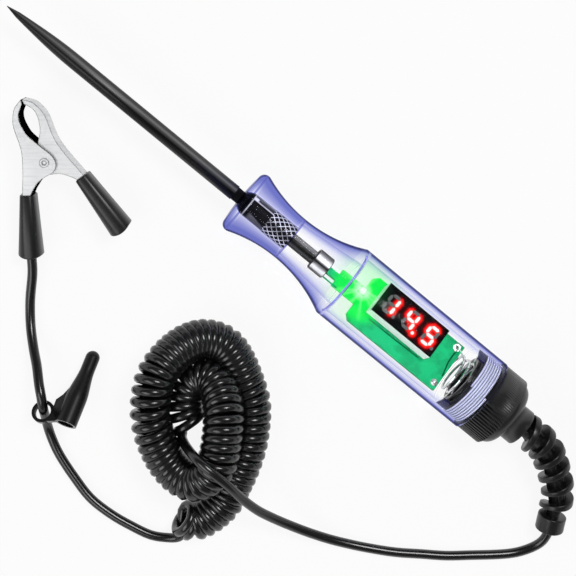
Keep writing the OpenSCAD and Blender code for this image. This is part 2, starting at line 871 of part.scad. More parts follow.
module rear_cap() {
    spigot_d = socket_bore_d - 2 * thread_gap;
    edge = 0.6;
    hub = dome_d / 2 - dome_len;
    total = spigot_len + grip_len + dome_len + gland_len;
    dome_at = spigot_len + grip_len;
    gland_at = dome_at + dome_len;
    floor_at = spigot_front_x - cap_floor_x;
    color("#1a1a1c")
        difference() {
            union() {
                turned(spigot_front_x)
                    square([spigot_d / 2, spigot_len + past]);
                translate([rear_x, 0, axis_z])
                    rotate([0, -90, 0])
                        linear_extrude(grip_len)
                            grip_section();
                turned(spigot_front_x) {
                    translate([0, dome_at - past])
                        square([hub, dome_len + past]);
                    intersection() {
                        translate([hub, dome_at])
                            circle(r = dome_len);
                        translate([0, dome_at])
                            square([grip_d, dome_len]);
                    }
                    translate([0, gland_at])
                        square([gland_d / 2, gland_len - edge]);
                    translate([0, gland_at])
                        square([gland_d / 2 - edge, gland_len]);
                    translate([gland_d / 2 - edge, total - edge])
                        circle(r = edge, $fn = 32);
                }
            }
            turned(spigot_front_x) {
                translate([0, -past])
                    square([seat_d / 2 + slide, past + floor_at + joint_gap]);
                square([core_d / 2 + slide, total + past]);
            }
        }
}

// The flange winds left-handed round the core, and every turn has as many rings as the tube has sides
module strain_relief() {
    places = len(relief_route) - 1;
    rings = round(flange_turns * flange_sides);
    collar_start = relief_len - collar_len;
    core_r = core_d / 2;
    edge = 0.3;
    at = concat(
        [0],
        [for (i = [0 : rings]) flange_start + i * flange_pitch / flange_sides],
        [collar_start - edge, collar_start, relief_len - edge, relief_len]
    );
    plug = [[plug_x, 0, axis_z], [gland_end_x + 2, 0, axis_z]];
    path = concat(plug, [for (s = at) on_curve(relief_route, min(places * s / relief_len, places))]);
    first = len(plug) + 1;
    color("#1c1c1d")
        tube(path, function (i, j)
            let (k = i - first, turn = (k + j) / flange_sides - flange_phase, phase = turn - floor(turn))
            k < 0 ? core_r :
            k <= rings ? (phase < flange_share ? mix(flange_d, flange_end_d, k / rings) / 2 : core_r) :
            k == rings + 1 ? core_r :
            k == rings + 4 ? collar_d / 2 - edge : collar_d / 2,
            flange_sides);
}

// Cord

module cord_to_coil() {
    color("#18181a")
        tube(to_coil_route, function (i, j) cord_r);
}

module cord_coil() {
    color("#202022")
        tube(coil_route, function (i, j) mix(coil_end_d, coil_d, min(i / coil_widening, 1)) / 2);
}

module cord_to_clip() {
    ends = [
        for (beyond = [5, 0])
            let (p = arm_point(1, cord_arm_angle, cord_boot_len + beyond))
            from_clip([p[0], p[1], 0])
    ];
    color("#18181a")
        tube(concat(to_clip_route, ends), function (i, j) cord_r);
}

// Probe cover: a sleeve with a closed end, and a ring on a web at its mouth

module tip_cover() {
    steps = 10;
    tip_r = cover_tip_d / 2;
    mouth_r = cover_mouth_d / 2;
    flare = [
        for (k = [0 : steps])
            let (t = k / steps)
            [mix(tip_r, mouth_r, t * t * (3 - 2 * t)), cover_flare_at + cover_flare_len * t]
    ];
    bore_at = cover_len - cover_bore_len;
    color("#232325")
        in_cover()
            difference() {
                union() {
                    rotate([0, 90, 0])
                        rotate_extrude() {
                            polygon(concat([[0, tip_r], [tip_r, tip_r]], flare, [[mouth_r, cover_len], [0, cover_len]]));
                            intersection() {
                                translate([0, tip_r])
                                    circle(r = tip_r);
                                square([tip_r, tip_r]);
                            }
                        }
                    translate([0, 0, -ring_t / 2])
                        linear_extrude(ring_t)
                            union() {
                                translate([ring_at, -ring_reach])
                                    circle(d = ring_d);
                                polygon([
                                    [cover_flare_at + 5, 0], [cover_flare_at + 5, -tip_r], [ring_at - 6.6, -mouth_r - 0.9],
                                    [ring_at - 4.6, -mouth_r - 2.4], [ring_at - 2.6, -ring_reach + 2.6],
                                    [ring_at, -ring_reach + ring_hole_d / 2 + 0.2], [ring_at + 2.6, -ring_reach + 2.4],
                                    [cover_len, -mouth_r], [cover_len, 0]
                                ]);
                            }
                }
                rotate([0, 90, 0])
                    rotate_extrude()
                        polygon([
                            [0, cover_bore_end], [0.6, cover_bore_end], [cover_bore_d / 2, bore_at],
                            [cover_bore_d / 2, cover_len + past], [0, cover_len + past]
                        ]);
                translate([ring_at, -ring_reach, -ring_t])
                    cylinder(d = ring_hole_d, h = 2 * ring_t);
            }
}

// Ground clip

function arm_point(side, angle, length) =
    [arm_start[0] - length * cos(angle), side * (arm_start[1] + length * sin(angle))];

// The arm's frame: x runs out along the arm from the place where the boot starts
module on_arm(side, angle) {
    translate([arm_start[0], side * arm_start[1], 0])
        rotate([0, 0, 180 - side * angle])
            children();
}

// Outline of the bent strip that joins the two plates of a clip half
module spine_strip(side) {
    outer = smooth(spine_line, 3);
    t = [for (i = [0 : len(outer) - 1]) unit(outer[min(i + 1, len(outer) - 1)] - outer[max(i - 1, 0)])];
    inner = [for (i = [len(outer) - 1 : -1 : 0]) outer[i] + sheet_t * [-t[i][1], t[i][0]]];
    intersection() {
        scale_side(side)
            polygon(concat(outer, inner));
        translate([-clip_reach, side > 0 ? jaw_gap / 2 : -clip_reach])
            square([2 * clip_reach, clip_reach - jaw_gap / 2]);
    }
}

module scale_side(side) {
    mirror([0, side > 0 ? 0 : 1, 0])
        children();
}

module plate_outline(side) {
    inner = smooth(plate_line, 3);
    outer = smooth(spine_line, 3);
    scale_side(side)
        polygon(concat([for (p = outer) [p[0], max(p[1], jaw_gap / 2)]], [for (i = [len(inner) - 1 : -1 : 0]) inner[i]]));
}

// A clip half is two plates joined by the strip, with a tang for the boot
module clip_half(side, height, angle, hole_d) {
    difference() {
        union() {
            for (z = [-height / 2, height / 2 - sheet_t])
                translate([0, 0, z])
                    linear_extrude(sheet_t)
                        plate_outline(side);
            translate([0, 0, -height / 2])
                linear_extrude(height)
                    spine_strip(side);
        }
        cylinder(d = hole_d, h = height + 2 * past, center = true, $fn = 32);
        on_arm(side, angle)
            translate([0, -2 * boot_rear_w, -height])
                cube([clip_reach, 4 * boot_rear_w, 2 * height]);
    }
}

// The tang starts on the strip, just in front of the boot
module tang(side, angle) {
    on_arm(side, angle)
        translate([-tang_root, -tang_w / 2, -tang_h / 2])
            cube([tang_root + tang_len, tang_w, tang_h]);
}

// The slot that a tang fills in its boot
module tang_slot(side, angle) {
    on_arm(side, angle)
        translate([-past, -tang_w / 2 - slide, -tang_h / 2 - slide])
            cube([past + tang_len + slide, tang_w + 2 * slide, tang_h + 2 * slide]);
}

module clip_jaw_fixed() {
    color("#e8e9ea")
        in_clip()
            union() {
                clip_half(1, outer_h, cord_arm_angle, rivet_d + 2 * snug);
                tang(1, cord_arm_angle);
            }
}

module clip_jaw_moving() {
    color("#dfe0e2")
        in_clip()
            union() {
                clip_half(-1, inner_h, free_arm_angle, rivet_d + 2 * slide);
                tang(-1, free_arm_angle);
            }
}

module clip_rivet() {
    length = outer_h + 2 * snug;
    dimple_d = rivet_d * 0.6;
    color("#d5d6d8")
        in_clip()
            difference() {
                union() {
                    cylinder(d = rivet_d, h = length, center = true, $fn = 32);
                    for (side = [-1, 1])
                        translate([0, 0, side * (length + rivet_head_h) / 2])
                            cylinder(d = rivet_head_d, h = rivet_head_h, center = true, $fn = 32);
                }
                for (side = [-1, 1])
                    translate([0, 0, side * (length / 2 + rivet_head_h)])
                        cylinder(d = dimple_d, h = rivet_head_h * 2, center = true, $fn = 32);
            }
}

// Spring angles: both legs leave the coil along its tangent
spring_mid_r = clip_spring_d / 2;
leg_reach = acos(spring_mid_r / norm(spring_leg_end));
leg_heading = atan2(spring_leg_end[1], spring_leg_end[0]);
spring_rise = clip_wire_d + joint_gap;
spring_bottom = -spring_rise * (clip_spring_turns + 1) / 2;

module clip_spring() {
    steps = 12;
    start = leg_heading + leg_reach;
    sweep = 360 * clip_spring_turns - 2 * (start - 180);
    count = clip_spring_turns * steps;
    turns = [
        for (k = [0 : count])
            let (a = start + sweep * k / count)
            [spring_mid_r * cos(a), spring_mid_r * sin(a), spring_bottom + spring_rise * clip_spring_turns * k / count]
    ];
    color("#b9babd")
        in_clip()
            tube(concat([[spring_leg_end[0], spring_leg_end[1], spring_bottom]], turns),
                function (i, j) clip_wire_d / 2, 6, [0, 0, 1]);
}

module clip_spring_leg() {
    start = 360 - leg_heading - leg_reach;
    z = -spring_bottom;
    foot = [spring_mid_r * cos(start), spring_mid_r * sin(start), z];
    color("#b9babd")
        in_clip()
            tube([foot, [spring_leg_end[0], -spring_leg_end[1], z]], function (i, j) clip_wire_d / 2, 8, [0, 0, 1]);
}

// Rubber boot: a tapered sleeve with rounded corners over the tang
module boot(side, angle, length) {
    difference() {
        on_arm(side, angle)
            hull() {
                boot_section(0, boot_front_w, boot_front_round);
                boot_section(length - past, boot_rear_w, boot_rear_round);
            }
        tang_slot(side, angle);
    }
}

module boot_section(x, width, corner_r) {
    y = width / 2 - corner_r;
    z = boot_h / 2 - corner_r;
    for (corner = [[-y, -z], [y, -z], [y, z], [-y, z]])
        translate([x, corner[0], corner[1]])
            rotate([0, 90, 0])
                cylinder(r = corner_r, h = past, $fn = 24);
}

module clip_boot_cable() {
    color("#1b1b1d")
        in_clip()
            difference() {
                boot(1, cord_arm_angle, cord_boot_len);
                on_arm(1, cord_arm_angle)
                    translate([tang_len, 0, 0])
                        rotate([0, 90, 0])
                            cylinder(d = crimp_d + 2 * slide, h = crimp_len + slide);
            }
}

module clip_boot_free() {
    color("#1b1b1d")
        in_clip()
            boot(-1, free_arm_angle, free_boot_len);
}

module cable_crimp() {
    color("#c9a24c")
        in_clip()
            on_arm(1, cord_arm_angle)
                translate([tang_len + joint_gap, 0, 0])
                    rotate([0, 90, 0])
                        cylinder(d = crimp_d, h = crimp_len);
}

probe_needle();
probe_ferrule();
contact_rod();
contact_cup();
handle_shell();
circuit_board();
display_case();
display_face();
lit_segments();
unlit_segments();
display_pins();
status_led();
driver_chip();
voltage_regulator();
chip_resistors();
filter_capacitor();
solder_joints();
contact_spring();
spring_seat();
cord_terminal();
rear_cap();
strain_relief();
cord_to_coil();
cord_coil();
cord_to_clip();
tip_cover();
clip_jaw_fixed();
clip_jaw_moving();
clip_rivet();
clip_spring();
clip_spring_leg();
clip_boot_cable();
clip_boot_free();
cable_crimp();
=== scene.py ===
"""A hand-held test light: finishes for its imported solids, the curly cord, soft pieces and fine detail."""

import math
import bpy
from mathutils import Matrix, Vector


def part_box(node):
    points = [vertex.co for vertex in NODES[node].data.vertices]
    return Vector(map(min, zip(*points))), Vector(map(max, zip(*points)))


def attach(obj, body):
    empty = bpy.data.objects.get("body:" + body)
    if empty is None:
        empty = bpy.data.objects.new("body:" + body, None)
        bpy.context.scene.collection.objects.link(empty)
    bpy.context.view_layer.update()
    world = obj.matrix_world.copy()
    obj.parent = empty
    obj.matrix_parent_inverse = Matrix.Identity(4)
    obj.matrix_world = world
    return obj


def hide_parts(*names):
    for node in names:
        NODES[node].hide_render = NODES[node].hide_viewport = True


bl_info = {
    "name": "Test Light",
    "version": (1, 0, 0),
    "blender": (4, 5, 0),
    "location": "View3D > Sidebar > Test Light",
    "description": "Dresses a hand-held test light with a clear handle, a curly cord and a ground clip",
    "category": "Object",
}

import bmesh
import bpy
from bpy.props import FloatProperty, FloatVectorProperty, PointerProperty
from mathutils import Matrix, Vector
from mathutils.bvhtree import BVHTree
from mathutils.geometry import interpolate_bezier

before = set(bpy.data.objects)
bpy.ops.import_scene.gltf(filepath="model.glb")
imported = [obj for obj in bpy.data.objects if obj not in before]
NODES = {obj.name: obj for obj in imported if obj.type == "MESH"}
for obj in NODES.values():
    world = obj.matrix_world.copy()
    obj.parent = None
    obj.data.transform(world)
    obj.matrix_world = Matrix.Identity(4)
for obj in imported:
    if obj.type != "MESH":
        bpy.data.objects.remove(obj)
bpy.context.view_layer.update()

MM = 0.001
PHOTO_SIDE = 576
PART_MIDDLE = Vector((0, 0.03, 0))

# The handle's axis and the places along it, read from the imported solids
SHELL_LOW, SHELL_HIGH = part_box("handle_shell")
AXIS_Z = (SHELL_LOW[2] + SHELL_HIGH[2]) / 2
TIP_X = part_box("probe_needle")[1][0]
FRONT_X = SHELL_HIGH[0]
REAR_X = SHELL_LOW[0]
NOSE_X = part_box("probe_ferrule")[0][0]
KNURL_X = FRONT_X - 10.6 * MM
BAY_X = FRONT_X - 40 * MM
GLAND_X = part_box("rear_cap")[0][0]
BOARD_ROLL = math.radians(16)
ON_AXIS = Matrix.Translation((0, 0, AXIS_Z))
BOARD_TILT = ON_AXIS @ Matrix.Rotation(BOARD_ROLL, 4, "X")

# The cord's route in millimetres: out of the strain relief to the curly stretch, along it, and on to the clip
RELIEF = [
    (GLAND_X / MM, 0, AXIS_Z / MM), (-103, -0.5, 12), (-107.5, 0, 11.5), (-112, 2, 10.5), (-116, 4.5, 9.5),
    (-119.5, 7, 8.5), (-122.5, 10.5, 7.5), (-124.5, 14.5, 6.5), (-127, 18.5, 5),
]
TO_COIL = [
    (-127, 18.5, 5), (-128, 20.5, 4.2), (-128.5, 23.5, 3), (-127.5, 27, 2), (-125, 31, 1.5),
    (-121, 35, 1.5), (-114.5, 40.5, 1.5), (-108.5, 45.5, 1.5), (-102, 50, 1.5),
    (-95.5, 54.5, 1.5), (-88.5, 58.5, 1.5), (-82.5, 61.5, 1.7), (-76.5, 64, 2.6),
    (-70, 66, 4.5), (-63.5, 67.5, 7), (-57.5, 68.5, 10), (-51.5, 69, 13.5), (-45, 68.5, 17.5),
    (-39, 67.5, 21), (-33, 67, 23.2), (-28, 67, 22.6), (-24.5, 67, 19), (-22, 67, 13.5),
    (-20.5, 66.5, 9.5), (-19.5, 64.5, 7.5),
]
COIL = [
    (-36, 86, 7.5), (-39.5, 85.5, 6.25), (-41.5, 82.5, 6.25), (-42.5, 79, 6.25),
    (-43, 74.5, 6.25), (-42, 69.5, 6.25), (-40.5, 63.5, 6.25), (-38, 57, 6.25),
    (-34.5, 51, 6.25), (-30.5, 46, 6.25), (-25.5, 42.5, 6.25), (-19, 39, 6.25),
    (-13, 37.5, 6.5), (-7.5, 39.5, 7.5), (-4, 44, 9.5), (-2.5, 50.5, 11.5), (-3, 57, 13),
    (-6, 63, 13), (-10.5, 68.5, 12), (-17, 73, 11), (-24, 75.5, 11), (-30, 75, 12.5),
    (-33, 71.5, 14.5), (-33, 65.5, 16.5), (-30, 59.5, 16.5), (-26, 53.5, 15.5), (-22, 49.5, 12.5),
    (-17.5, 47.5, 9), (-13.5, 49.5, 6.8), (-12.5, 54, 6.25), (-14.5, 58.5, 6.25),
    (-17.5, 61.5, 6.25), (-20.5, 63, 6.25),
]
TO_CLIP = [
    (-40, 89.5, 4.3), (-40, 92.5, 2.4), (-37.5, 95, 1.5), (-33, 97.5, 1.5),
    (-26.5, 99, 1.5), (-19.5, 100, 1.5), (-11.5, 100, 1.5), (-3.5, 98, 1.5),
    (4, 95.5, 1.5), (9, 93, 1.6), (12.5, 90.5, 2.8), (15, 88, 5.5), (17, 86, 8.2),
    (19.5, 83.5, 9.4), (22.5, 81, 8.6), (26.5, 77.5, 6.4), (30.5, 74.5, 4), (35.5, 70, 2.2),
    (40.5, 64, 2),
]
# Distance between turns along the curly stretch, as pairs of share and millimetres
COIL_PITCH = [
    (0, 2.1), (0.1, 2.1), (0.17, 2.7), (0.26, 2.7), (0.33, 1.9), (0.43, 1.8), (0.49, 2.7), (0.55, 3.6), (0.63, 2.1),
    (0.71, 2.0), (0.77, 2.6), (0.82, 2.5), (0.9, 1.9), (0.95, 2.6), (1, 3.2),
]
# Where on its round the helix starts, and the share over which it widens
START_TURN = 0.5
COIL_WIDENING = 0.06

# Where the spiral flange's middle passes the top, as pairs of turns and millimetres from the cap
FLANGE_CRESTS = [(0.45, 0.9), (1, 3.1), (2, 7.7), (3, 12.6), (4, 17.5), (5, 23.1), (6, 28.5), (6.6, 31.9)]

# The clip's own frame: X towards the jaws, Y towards the cord's arm, Z along the rivet
CLIP = (
    Matrix.Translation(Vector((62, 27.8, 8.9)) * MM)
    @ Matrix.Rotation(math.radians(-31.8), 4, "Z")
    @ Matrix.Rotation(math.radians(-7), 4, "Y")
    @ Matrix.Rotation(math.radians(-6), 4, "X")
)
ARM_START = Vector((-7.4, 8.5, 0)) * MM
CORD_ARM_ANGLE = math.radians(18)
FREE_ARM_ANGLE = math.radians(17)


def length_property(name, description, default):
    """A length that the user may change, with its default in millimetres."""
    return FloatProperty(name=name, description=description, default=default * MM, unit="LENGTH")


class TestLightSizes(bpy.types.PropertyGroup):
    """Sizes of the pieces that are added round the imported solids."""

    cord_d: length_property("Cord", "Diameter of the cord", 3)
    coil_d: length_property("Curly cord", "Outside diameter of the curly stretch", 12.5)
    coil_end_d: length_property("Curly cord's end", "Outside diameter at the end near the clip", 11.5)
    flange_d: length_property("Relief flange", "Diameter of the spiral flange at the cap", 11.3)
    flange_end_d: length_property("Relief flange end", "Diameter of the spiral flange at the cord", 9.8)
    core_d: length_property("Relief core", "Diameter of the relief under its flange", 4.2)
    collar_d: length_property("Collar", "Diameter of the relief's end", 8.8)
    collar_len: length_property("Collar length", "Length of the relief's end", 5)
    cord_boot_len: length_property("Cord boot", "Length of the boot on the cord's arm", 19.2)
    free_boot_len: length_property("Free boot", "Length of the boot on the free arm", 20.2)
    boot_front_w: length_property("Boot mouth", "Width of a boot at the clip", 4.6)
    boot_rear_w: length_property("Boot end", "Width of a boot at its end", 7.4)
    boot_h: length_property("Boot height", "Height of a boot", 8.4)


def colour_property(name, description, default):
    """A colour that the user may change."""
    return FloatVectorProperty(
        name=name, description=description, default=default, subtype="COLOR", size=3, min=0, max=1
    )


class TestLightColours(bpy.types.PropertyGroup):
    """Colours of the finishes."""

    clear_edge: colour_property("Clear edge", "Tint of the clear handle towards its edges", (0.17, 0.19, 0.60))
    clear_rim: colour_property("Clear rim", "Darkest tint at the clear handle's outline", (0.016, 0.02, 0.13))
    board: colour_property("Board", "Green solder mask", (0.005, 0.41, 0.148))
    lamp: colour_property("Lamp", "Light of the green lamp", (0.0, 0.85, 0.12))
    lit: colour_property("Lit segment", "Light of a lit segment", (1.0, 0.05, 0.03))
    rubber: colour_property("Rubber", "Soft black rubber", (0.006, 0.006, 0.0065))
    jacket: colour_property("Cord", "Cord jacket", (0.003, 0.003, 0.0033))
    steel: colour_property("Clip steel", "Nickel plated sheet", (0.9, 0.91, 0.92))
    dark_steel: colour_property("Dark steel", "Blackened steel of the probe", (0.003, 0.003, 0.0035))


# Shader building


def node_in(tree, kind, inputs=None, **settings):
    """A new node with settings, and a value or an output for each named or numbered input."""
    node = tree.nodes.new(kind)
    for name, value in settings.items():
        setattr(node, name, value)
    for key, value in (inputs or {}).items():
        socket = node.inputs[key]
        if isinstance(value, bpy.types.NodeSocket):
            tree.links.new(value, socket)
        else:
            socket.default_value = value
    return node


def maths(tree, operation, a, b=None, clamp=False):
    """One sum of numbers or outputs."""
    inputs = {0: a} if b is None else {0: a, 1: b}
    return node_in(tree, "ShaderNodeMath", inputs, operation=operation, use_clamp=clamp).outputs[0]


def times(tree, a, b, clamp=False):
    """The product of two numbers or outputs."""
    return maths(tree, "MULTIPLY", a, b, clamp)


def vector_maths(tree, operation, a, b, output="Vector"):
    """One sum of vectors."""
    return node_in(tree, "ShaderNodeVectorMath", {0: a, 1: b}, operation=operation).outputs[output]


def dot(tree, a, b):
    """How far two vectors point the same way."""
    return vector_maths(tree, "DOT_PRODUCT", a, b, "Value")


def noise(tree, place, scale, detail=2):
    """Soft uneven patches."""
    inputs = {"Vector": place, "Scale": scale, "Detail": detail}
    return node_in(tree, "ShaderNodeTexNoise", inputs).outputs[0]


def feed(shader, name, output):
    """Links an output to one of a shader's inputs."""
    shader.id_data.links.new(output, shader.inputs[name])


def add_bump(tree, shader, height, strength, depth):
    """Raises a shader's surface by a height, with its depth in millimetres."""
    inputs = {"Strength": strength, "Distance": depth * MM, "Height": height}
    feed(shader, "Normal", node_in(tree, "ShaderNodeBump", inputs).outputs[0])


def spread(tree, value, low, high, to_low=0.0, to_high=1.0, smooth=False):
    """A value taken from one range to another, and held at its ends."""
    kind = "SMOOTHSTEP" if smooth else "LINEAR"
    inputs = {"Value": value, "From Min": low, "From Max": high, "To Min": to_low, "To Max": to_high}
    return node_in(tree, "ShaderNodeMapRange", inputs, interpolation_type=kind).outputs[0]


def ramp(tree, value, stops):
    """A colour from a few stops, each a place and a colour."""
    node = node_in(tree, "ShaderNodeValToRGB", {0: value})
    line = node.color_ramp
    while len(line.elements) < len(stops):
        line.elements.new(0.5)
    for element, (place, colour) in zip(line.elements, stops):
        element.position = place
        element.color = (*colour, 1) if len(colour) == 3 else colour
    return node.outputs[0]


def blend(tree, share, a, b, kind="MIX"):
    """Two colours mixed by a share."""
    fixed = {6: a, 7: b}
    inputs = {k: (*v, 1) if isinstance(v, (tuple, list)) and len(v) == 3 else v for k, v in fixed.items()}
    return node_in(tree, "ShaderNodeMix", {0: share, **inputs}, data_type="RGBA", blend_type=kind).outputs[2]


def place_of(tree):
    """The surface's place in the object, as a vector and its three parts."""
    place = node_in(tree, "ShaderNodeTexCoord").outputs["Object"]
    parts = node_in(tree, "ShaderNodeSeparateXYZ", {0: place}).outputs
    return place, parts[0], parts[1], parts[2]


def finish(name, metallic=0.0, specular=0.5, emission=0.0):
    """A new material and its main shader."""
    material = bpy.data.materials.new(name)
    material.use_nodes = True
    tree = material.node_tree
    shader = tree.nodes["Principled BSDF"]
    values = {"Metallic": metallic, "Specular IOR Level": specular, "Emission Strength": emission}
    for key, value in values.items():
        shader.inputs[key].default_value = value
    return material, tree, shader


def group_socket(tree, name, way, default=None):
    """One number that goes into or out of a node group."""
    socket = tree.interface.new_socket(name, in_out=way, socket_type="NodeSocketFloat")
    if default is not None:
        socket.default_value = default


def grain_group():
    """Fine uneven grain: a shade round one, and a height for bumps."""
    found = bpy.data.node_groups.get("fine_grain")
    if found:
        return found
    tree = bpy.data.node_groups.new("fine_grain", "ShaderNodeTree")
    group_socket(tree, "Scale", "INPUT", 1500)
    group_socket(tree, "Contrast", "INPUT", 0.3)
    group_socket(tree, "Shade", "OUTPUT")
    group_socket(tree, "Height", "OUTPUT")
    into = tree.nodes.new("NodeGroupInput")
    out = tree.nodes.new("NodeGroupOutput")
    place, *_ = place_of(tree)
    fine = noise(tree, place, into.outputs["Scale"], 3)
    broad = noise(tree, place, 90)
    both = maths(tree, "ADD", fine, broad)
    swing = times(tree, maths(tree, "SUBTRACT", both, 1), into.outputs["Contrast"])
    tree.links.new(maths(tree, "ADD", 1, swing), out.inputs["Shade"])
    tree.links.new(fine, out.inputs["Height"])
    return tree


def add_grain(tree, shader, colour, roughness, scale, contrast, bump):
    """Feeds a shader an uneven colour, roughness and bump; colour may be a value or an output."""
    grain = node_in(tree, "ShaderNodeGroup", node_tree=grain_group())
    grain.inputs["Scale"].default_value = scale
    grain.inputs["Contrast"].default_value = contrast
    shade = grain.outputs["Shade"]
    as_colour = node_in(tree, "ShaderNodeCombineColor", {0: shade, 1: shade, 2: shade}).outputs[0]
    feed(shader, "Base Color", blend(tree, 1.0, colour, as_colour, "MULTIPLY"))
    feed(shader, "Roughness", times(tree, roughness, shade, clamp=True))
    if bump:
        add_bump(tree, shader, grain.outputs["Height"], bump, 0.05)


def grained(name, colour, roughness, scale=1500, contrast=0.3, bump=0.15, **values):
    """A finish with nothing but its grain."""
    found = bpy.data.materials.get(name)
    if found:
        return found
    material, tree, shader = finish(name, **values)
    add_grain(tree, shader, tuple(colour), roughness, scale, contrast, bump)
    return material


def dress(nodes, material):
    """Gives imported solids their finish."""
    for node in nodes.split():
        mesh = NODES[node].data
        mesh.materials.clear()
        mesh.materials.append(material)


# Finishes with a pattern of their own


def across_axis(tree):
    """The surface's place round the handle: along, sideways, up from the axis, and the angle from the top."""
    place, x, y, z = place_of(tree)
    up = maths(tree, "SUBTRACT", z, AXIS_Z)
    angle = maths(tree, "ARCTAN2", y, up)
    return place, x, y, up, angle


def upper_half(tree, angle):
    """The share of the round from the -Y side over the top to the +Y side."""
    return spread(tree, angle, -math.pi / 2, math.pi / 2)


def probe_steel(colours):
    """Blackened steel with a painted soft streak of light, fine lines along it, and a dull root at the handle that is
    painted darker as shade.
    """
    material, tree, shader = finish("probe_steel", specular=0.25)
    place, x, _, _, angle = across_axis(tree)
    drawn = node_in(tree, "ShaderNodeMapping", {"Vector": place, "Scale": (60, 900, 900)}).outputs[0]
    lines = noise(tree, drawn, 1)
    dull_shaded_root = spread(tree, x, FRONT_X + 2.2 * MM, FRONT_X + 1.9 * MM)
    point = spread(tree, x, TIP_X - 26 * MM, TIP_X - 2 * MM)
    colour = blend(tree, spread(tree, lines, 0.3, 0.7), tuple(colours.dark_steel), (0.004, 0.004, 0.0045))
    # Painted highlight: a soft grey streak along the -Y side of the top, by the angle round the axis
    dark, dim, grey, bright = (0.003, 0.003, 0.0035), (0.02, 0.02, 0.02), (0.06, 0.06, 0.06), (0.24, 0.24, 0.24)
    painted_shine = [
        (0.12, dark), (0.27, grey), (0.37, bright), (0.44, (0.09, 0.09, 0.09)), (0.54, dark), (0.68, dark), (0.76, dim),
        (0.84, dark),
    ]
    colour = blend(tree, 0.9, colour, ramp(tree, upper_half(tree, angle), painted_shine))
    # Painted shade: the root at the handle is darker and loses the streak; it is also rougher
    colour = blend(tree, dull_shaded_root, colour, (0.0012, 0.0012, 0.0013))
    colour = blend(tree, times(tree, point, 0.6), colour, (0.012, 0.012, 0.012))
    feed(shader, "Base Color", colour)
    rough = maths(tree, "ADD", spread(tree, lines, 0.3, 0.7, 0.28, 0.3), times(tree, dull_shaded_root, 0.4), clamp=True)
    feed(shader, "Roughness", rough)
    return material


def band(tree, value, low, high, soft):
    """One between two places and zero outside, with soft edges."""
    return times(tree, spread(tree, value, low - soft, low + soft), spread(tree, value, high + soft, high - soft))


def ferrule_steel(colours):
    """Dark polished steel with painted highlights on the edges round its flat, a painted lighter side and lit patch,
    and a crossed knurl whose crests are painted with a bright reflection.
    """
    material, tree, shader = finish("ferrule_steel", specular=0.05)
    _, x, y, _, angle = across_axis(tree)
    edge_x = FRONT_X - 3.4 * MM
    soft = 0.08 * MM
    colour = tuple(colours.dark_steel)
    behind_edge = spread(tree, x, edge_x, edge_x - soft)
    # Painted light: the side towards -Y grows lighter, and a patch beside the flat is lit
    lit_side_stops = [(0, (0.02, 0.02, 0.022)), (0.6, (0.06, 0.06, 0.065)), (1, (0.2, 0.2, 0.21))]
    side = ramp(tree, spread(tree, y, -2.3 * MM, -3.5 * MM), lit_side_stops)
    colour = blend(tree, times(tree, spread(tree, y, -2.2 * MM, -2.3 * MM), behind_edge), colour, side)
    slope = maths(tree, "ADD", times(tree, x, 0.18), y)
    painted_patch = times(tree, spread(tree, slope, 2.6 * MM, 3.1 * MM), spread(tree, x, edge_x - 1 * MM, edge_x - 1.8 * MM))
    colour = blend(tree, painted_patch, colour, (0.10, 0.10, 0.105))
    # Painted highlights: a bright line on the flat's edge, a line along its side and a glint
    colour = blend(tree, band(tree, x, edge_x - 0.15 * MM, edge_x + 0.2 * MM, soft), colour, (0.4, 0.4, 0.42))
    line = times(tree, band(tree, y, -2.4 * MM, -2.1 * MM, soft), behind_edge)
    colour = blend(tree, line, colour, (0.5, 0.5, 0.52))
    glint_x = band(tree, x, edge_x - 1.4 * MM, edge_x, 3 * soft)
    painted_glint = times(tree, band(tree, y, -3.0 * MM, -2.2 * MM, 2 * soft), glint_x)
    colour = blend(tree, painted_glint, colour, (0.85, 0.85, 0.87))
    starts, knurl_step = 13, 2.1 * MM
    round_share = times(tree, angle, starts / math.tau)
    along = times(tree, x, 1 / knurl_step)
    crests, heights = [], []
    for way in (1, -1):
        place = maths(tree, "FRACT", maths(tree, "ADD", round_share, times(tree, along, way)))
        off = maths(tree, "ABSOLUTE", maths(tree, "SUBTRACT", place, 0.5))
        crests.append(spread(tree, off, 0.38, 0.46))
        heights.append(off)
    crest = maths(tree, "MAXIMUM", *crests)
    in_knurl = spread(tree, x, KNURL_X + 0.1 * MM, KNURL_X - 0.1 * MM)
    marked = times(tree, crest, in_knurl)
    # Painted reflection on the knurl's crests: bright at both sides and dark in the middle
    bright = (0.9, 0.9, 0.92)
    painted_shine_stops = [
        (0, bright), (0.36, (0.8, 0.8, 0.82)), (0.5, (0.16, 0.16, 0.17)), (0.74, (0.4, 0.4, 0.41)), (0.85, bright),
    ]
    painted_shine = ramp(tree, spread(tree, y, -3.8 * MM, 3.8 * MM), painted_shine_stops)
    colour = blend(tree, in_knurl, colour, (0.003, 0.003, 0.004))
    feed(shader, "Base Color", blend(tree, marked, colour, painted_shine))
    feed(shader, "Roughness", spread(tree, marked, 0, 1, 0.3, 0.5))
    height = times(tree, maths(tree, "MINIMUM", *heights), in_knurl)
    add_bump(tree, shader, height, 0.5, 0.4)
    return material


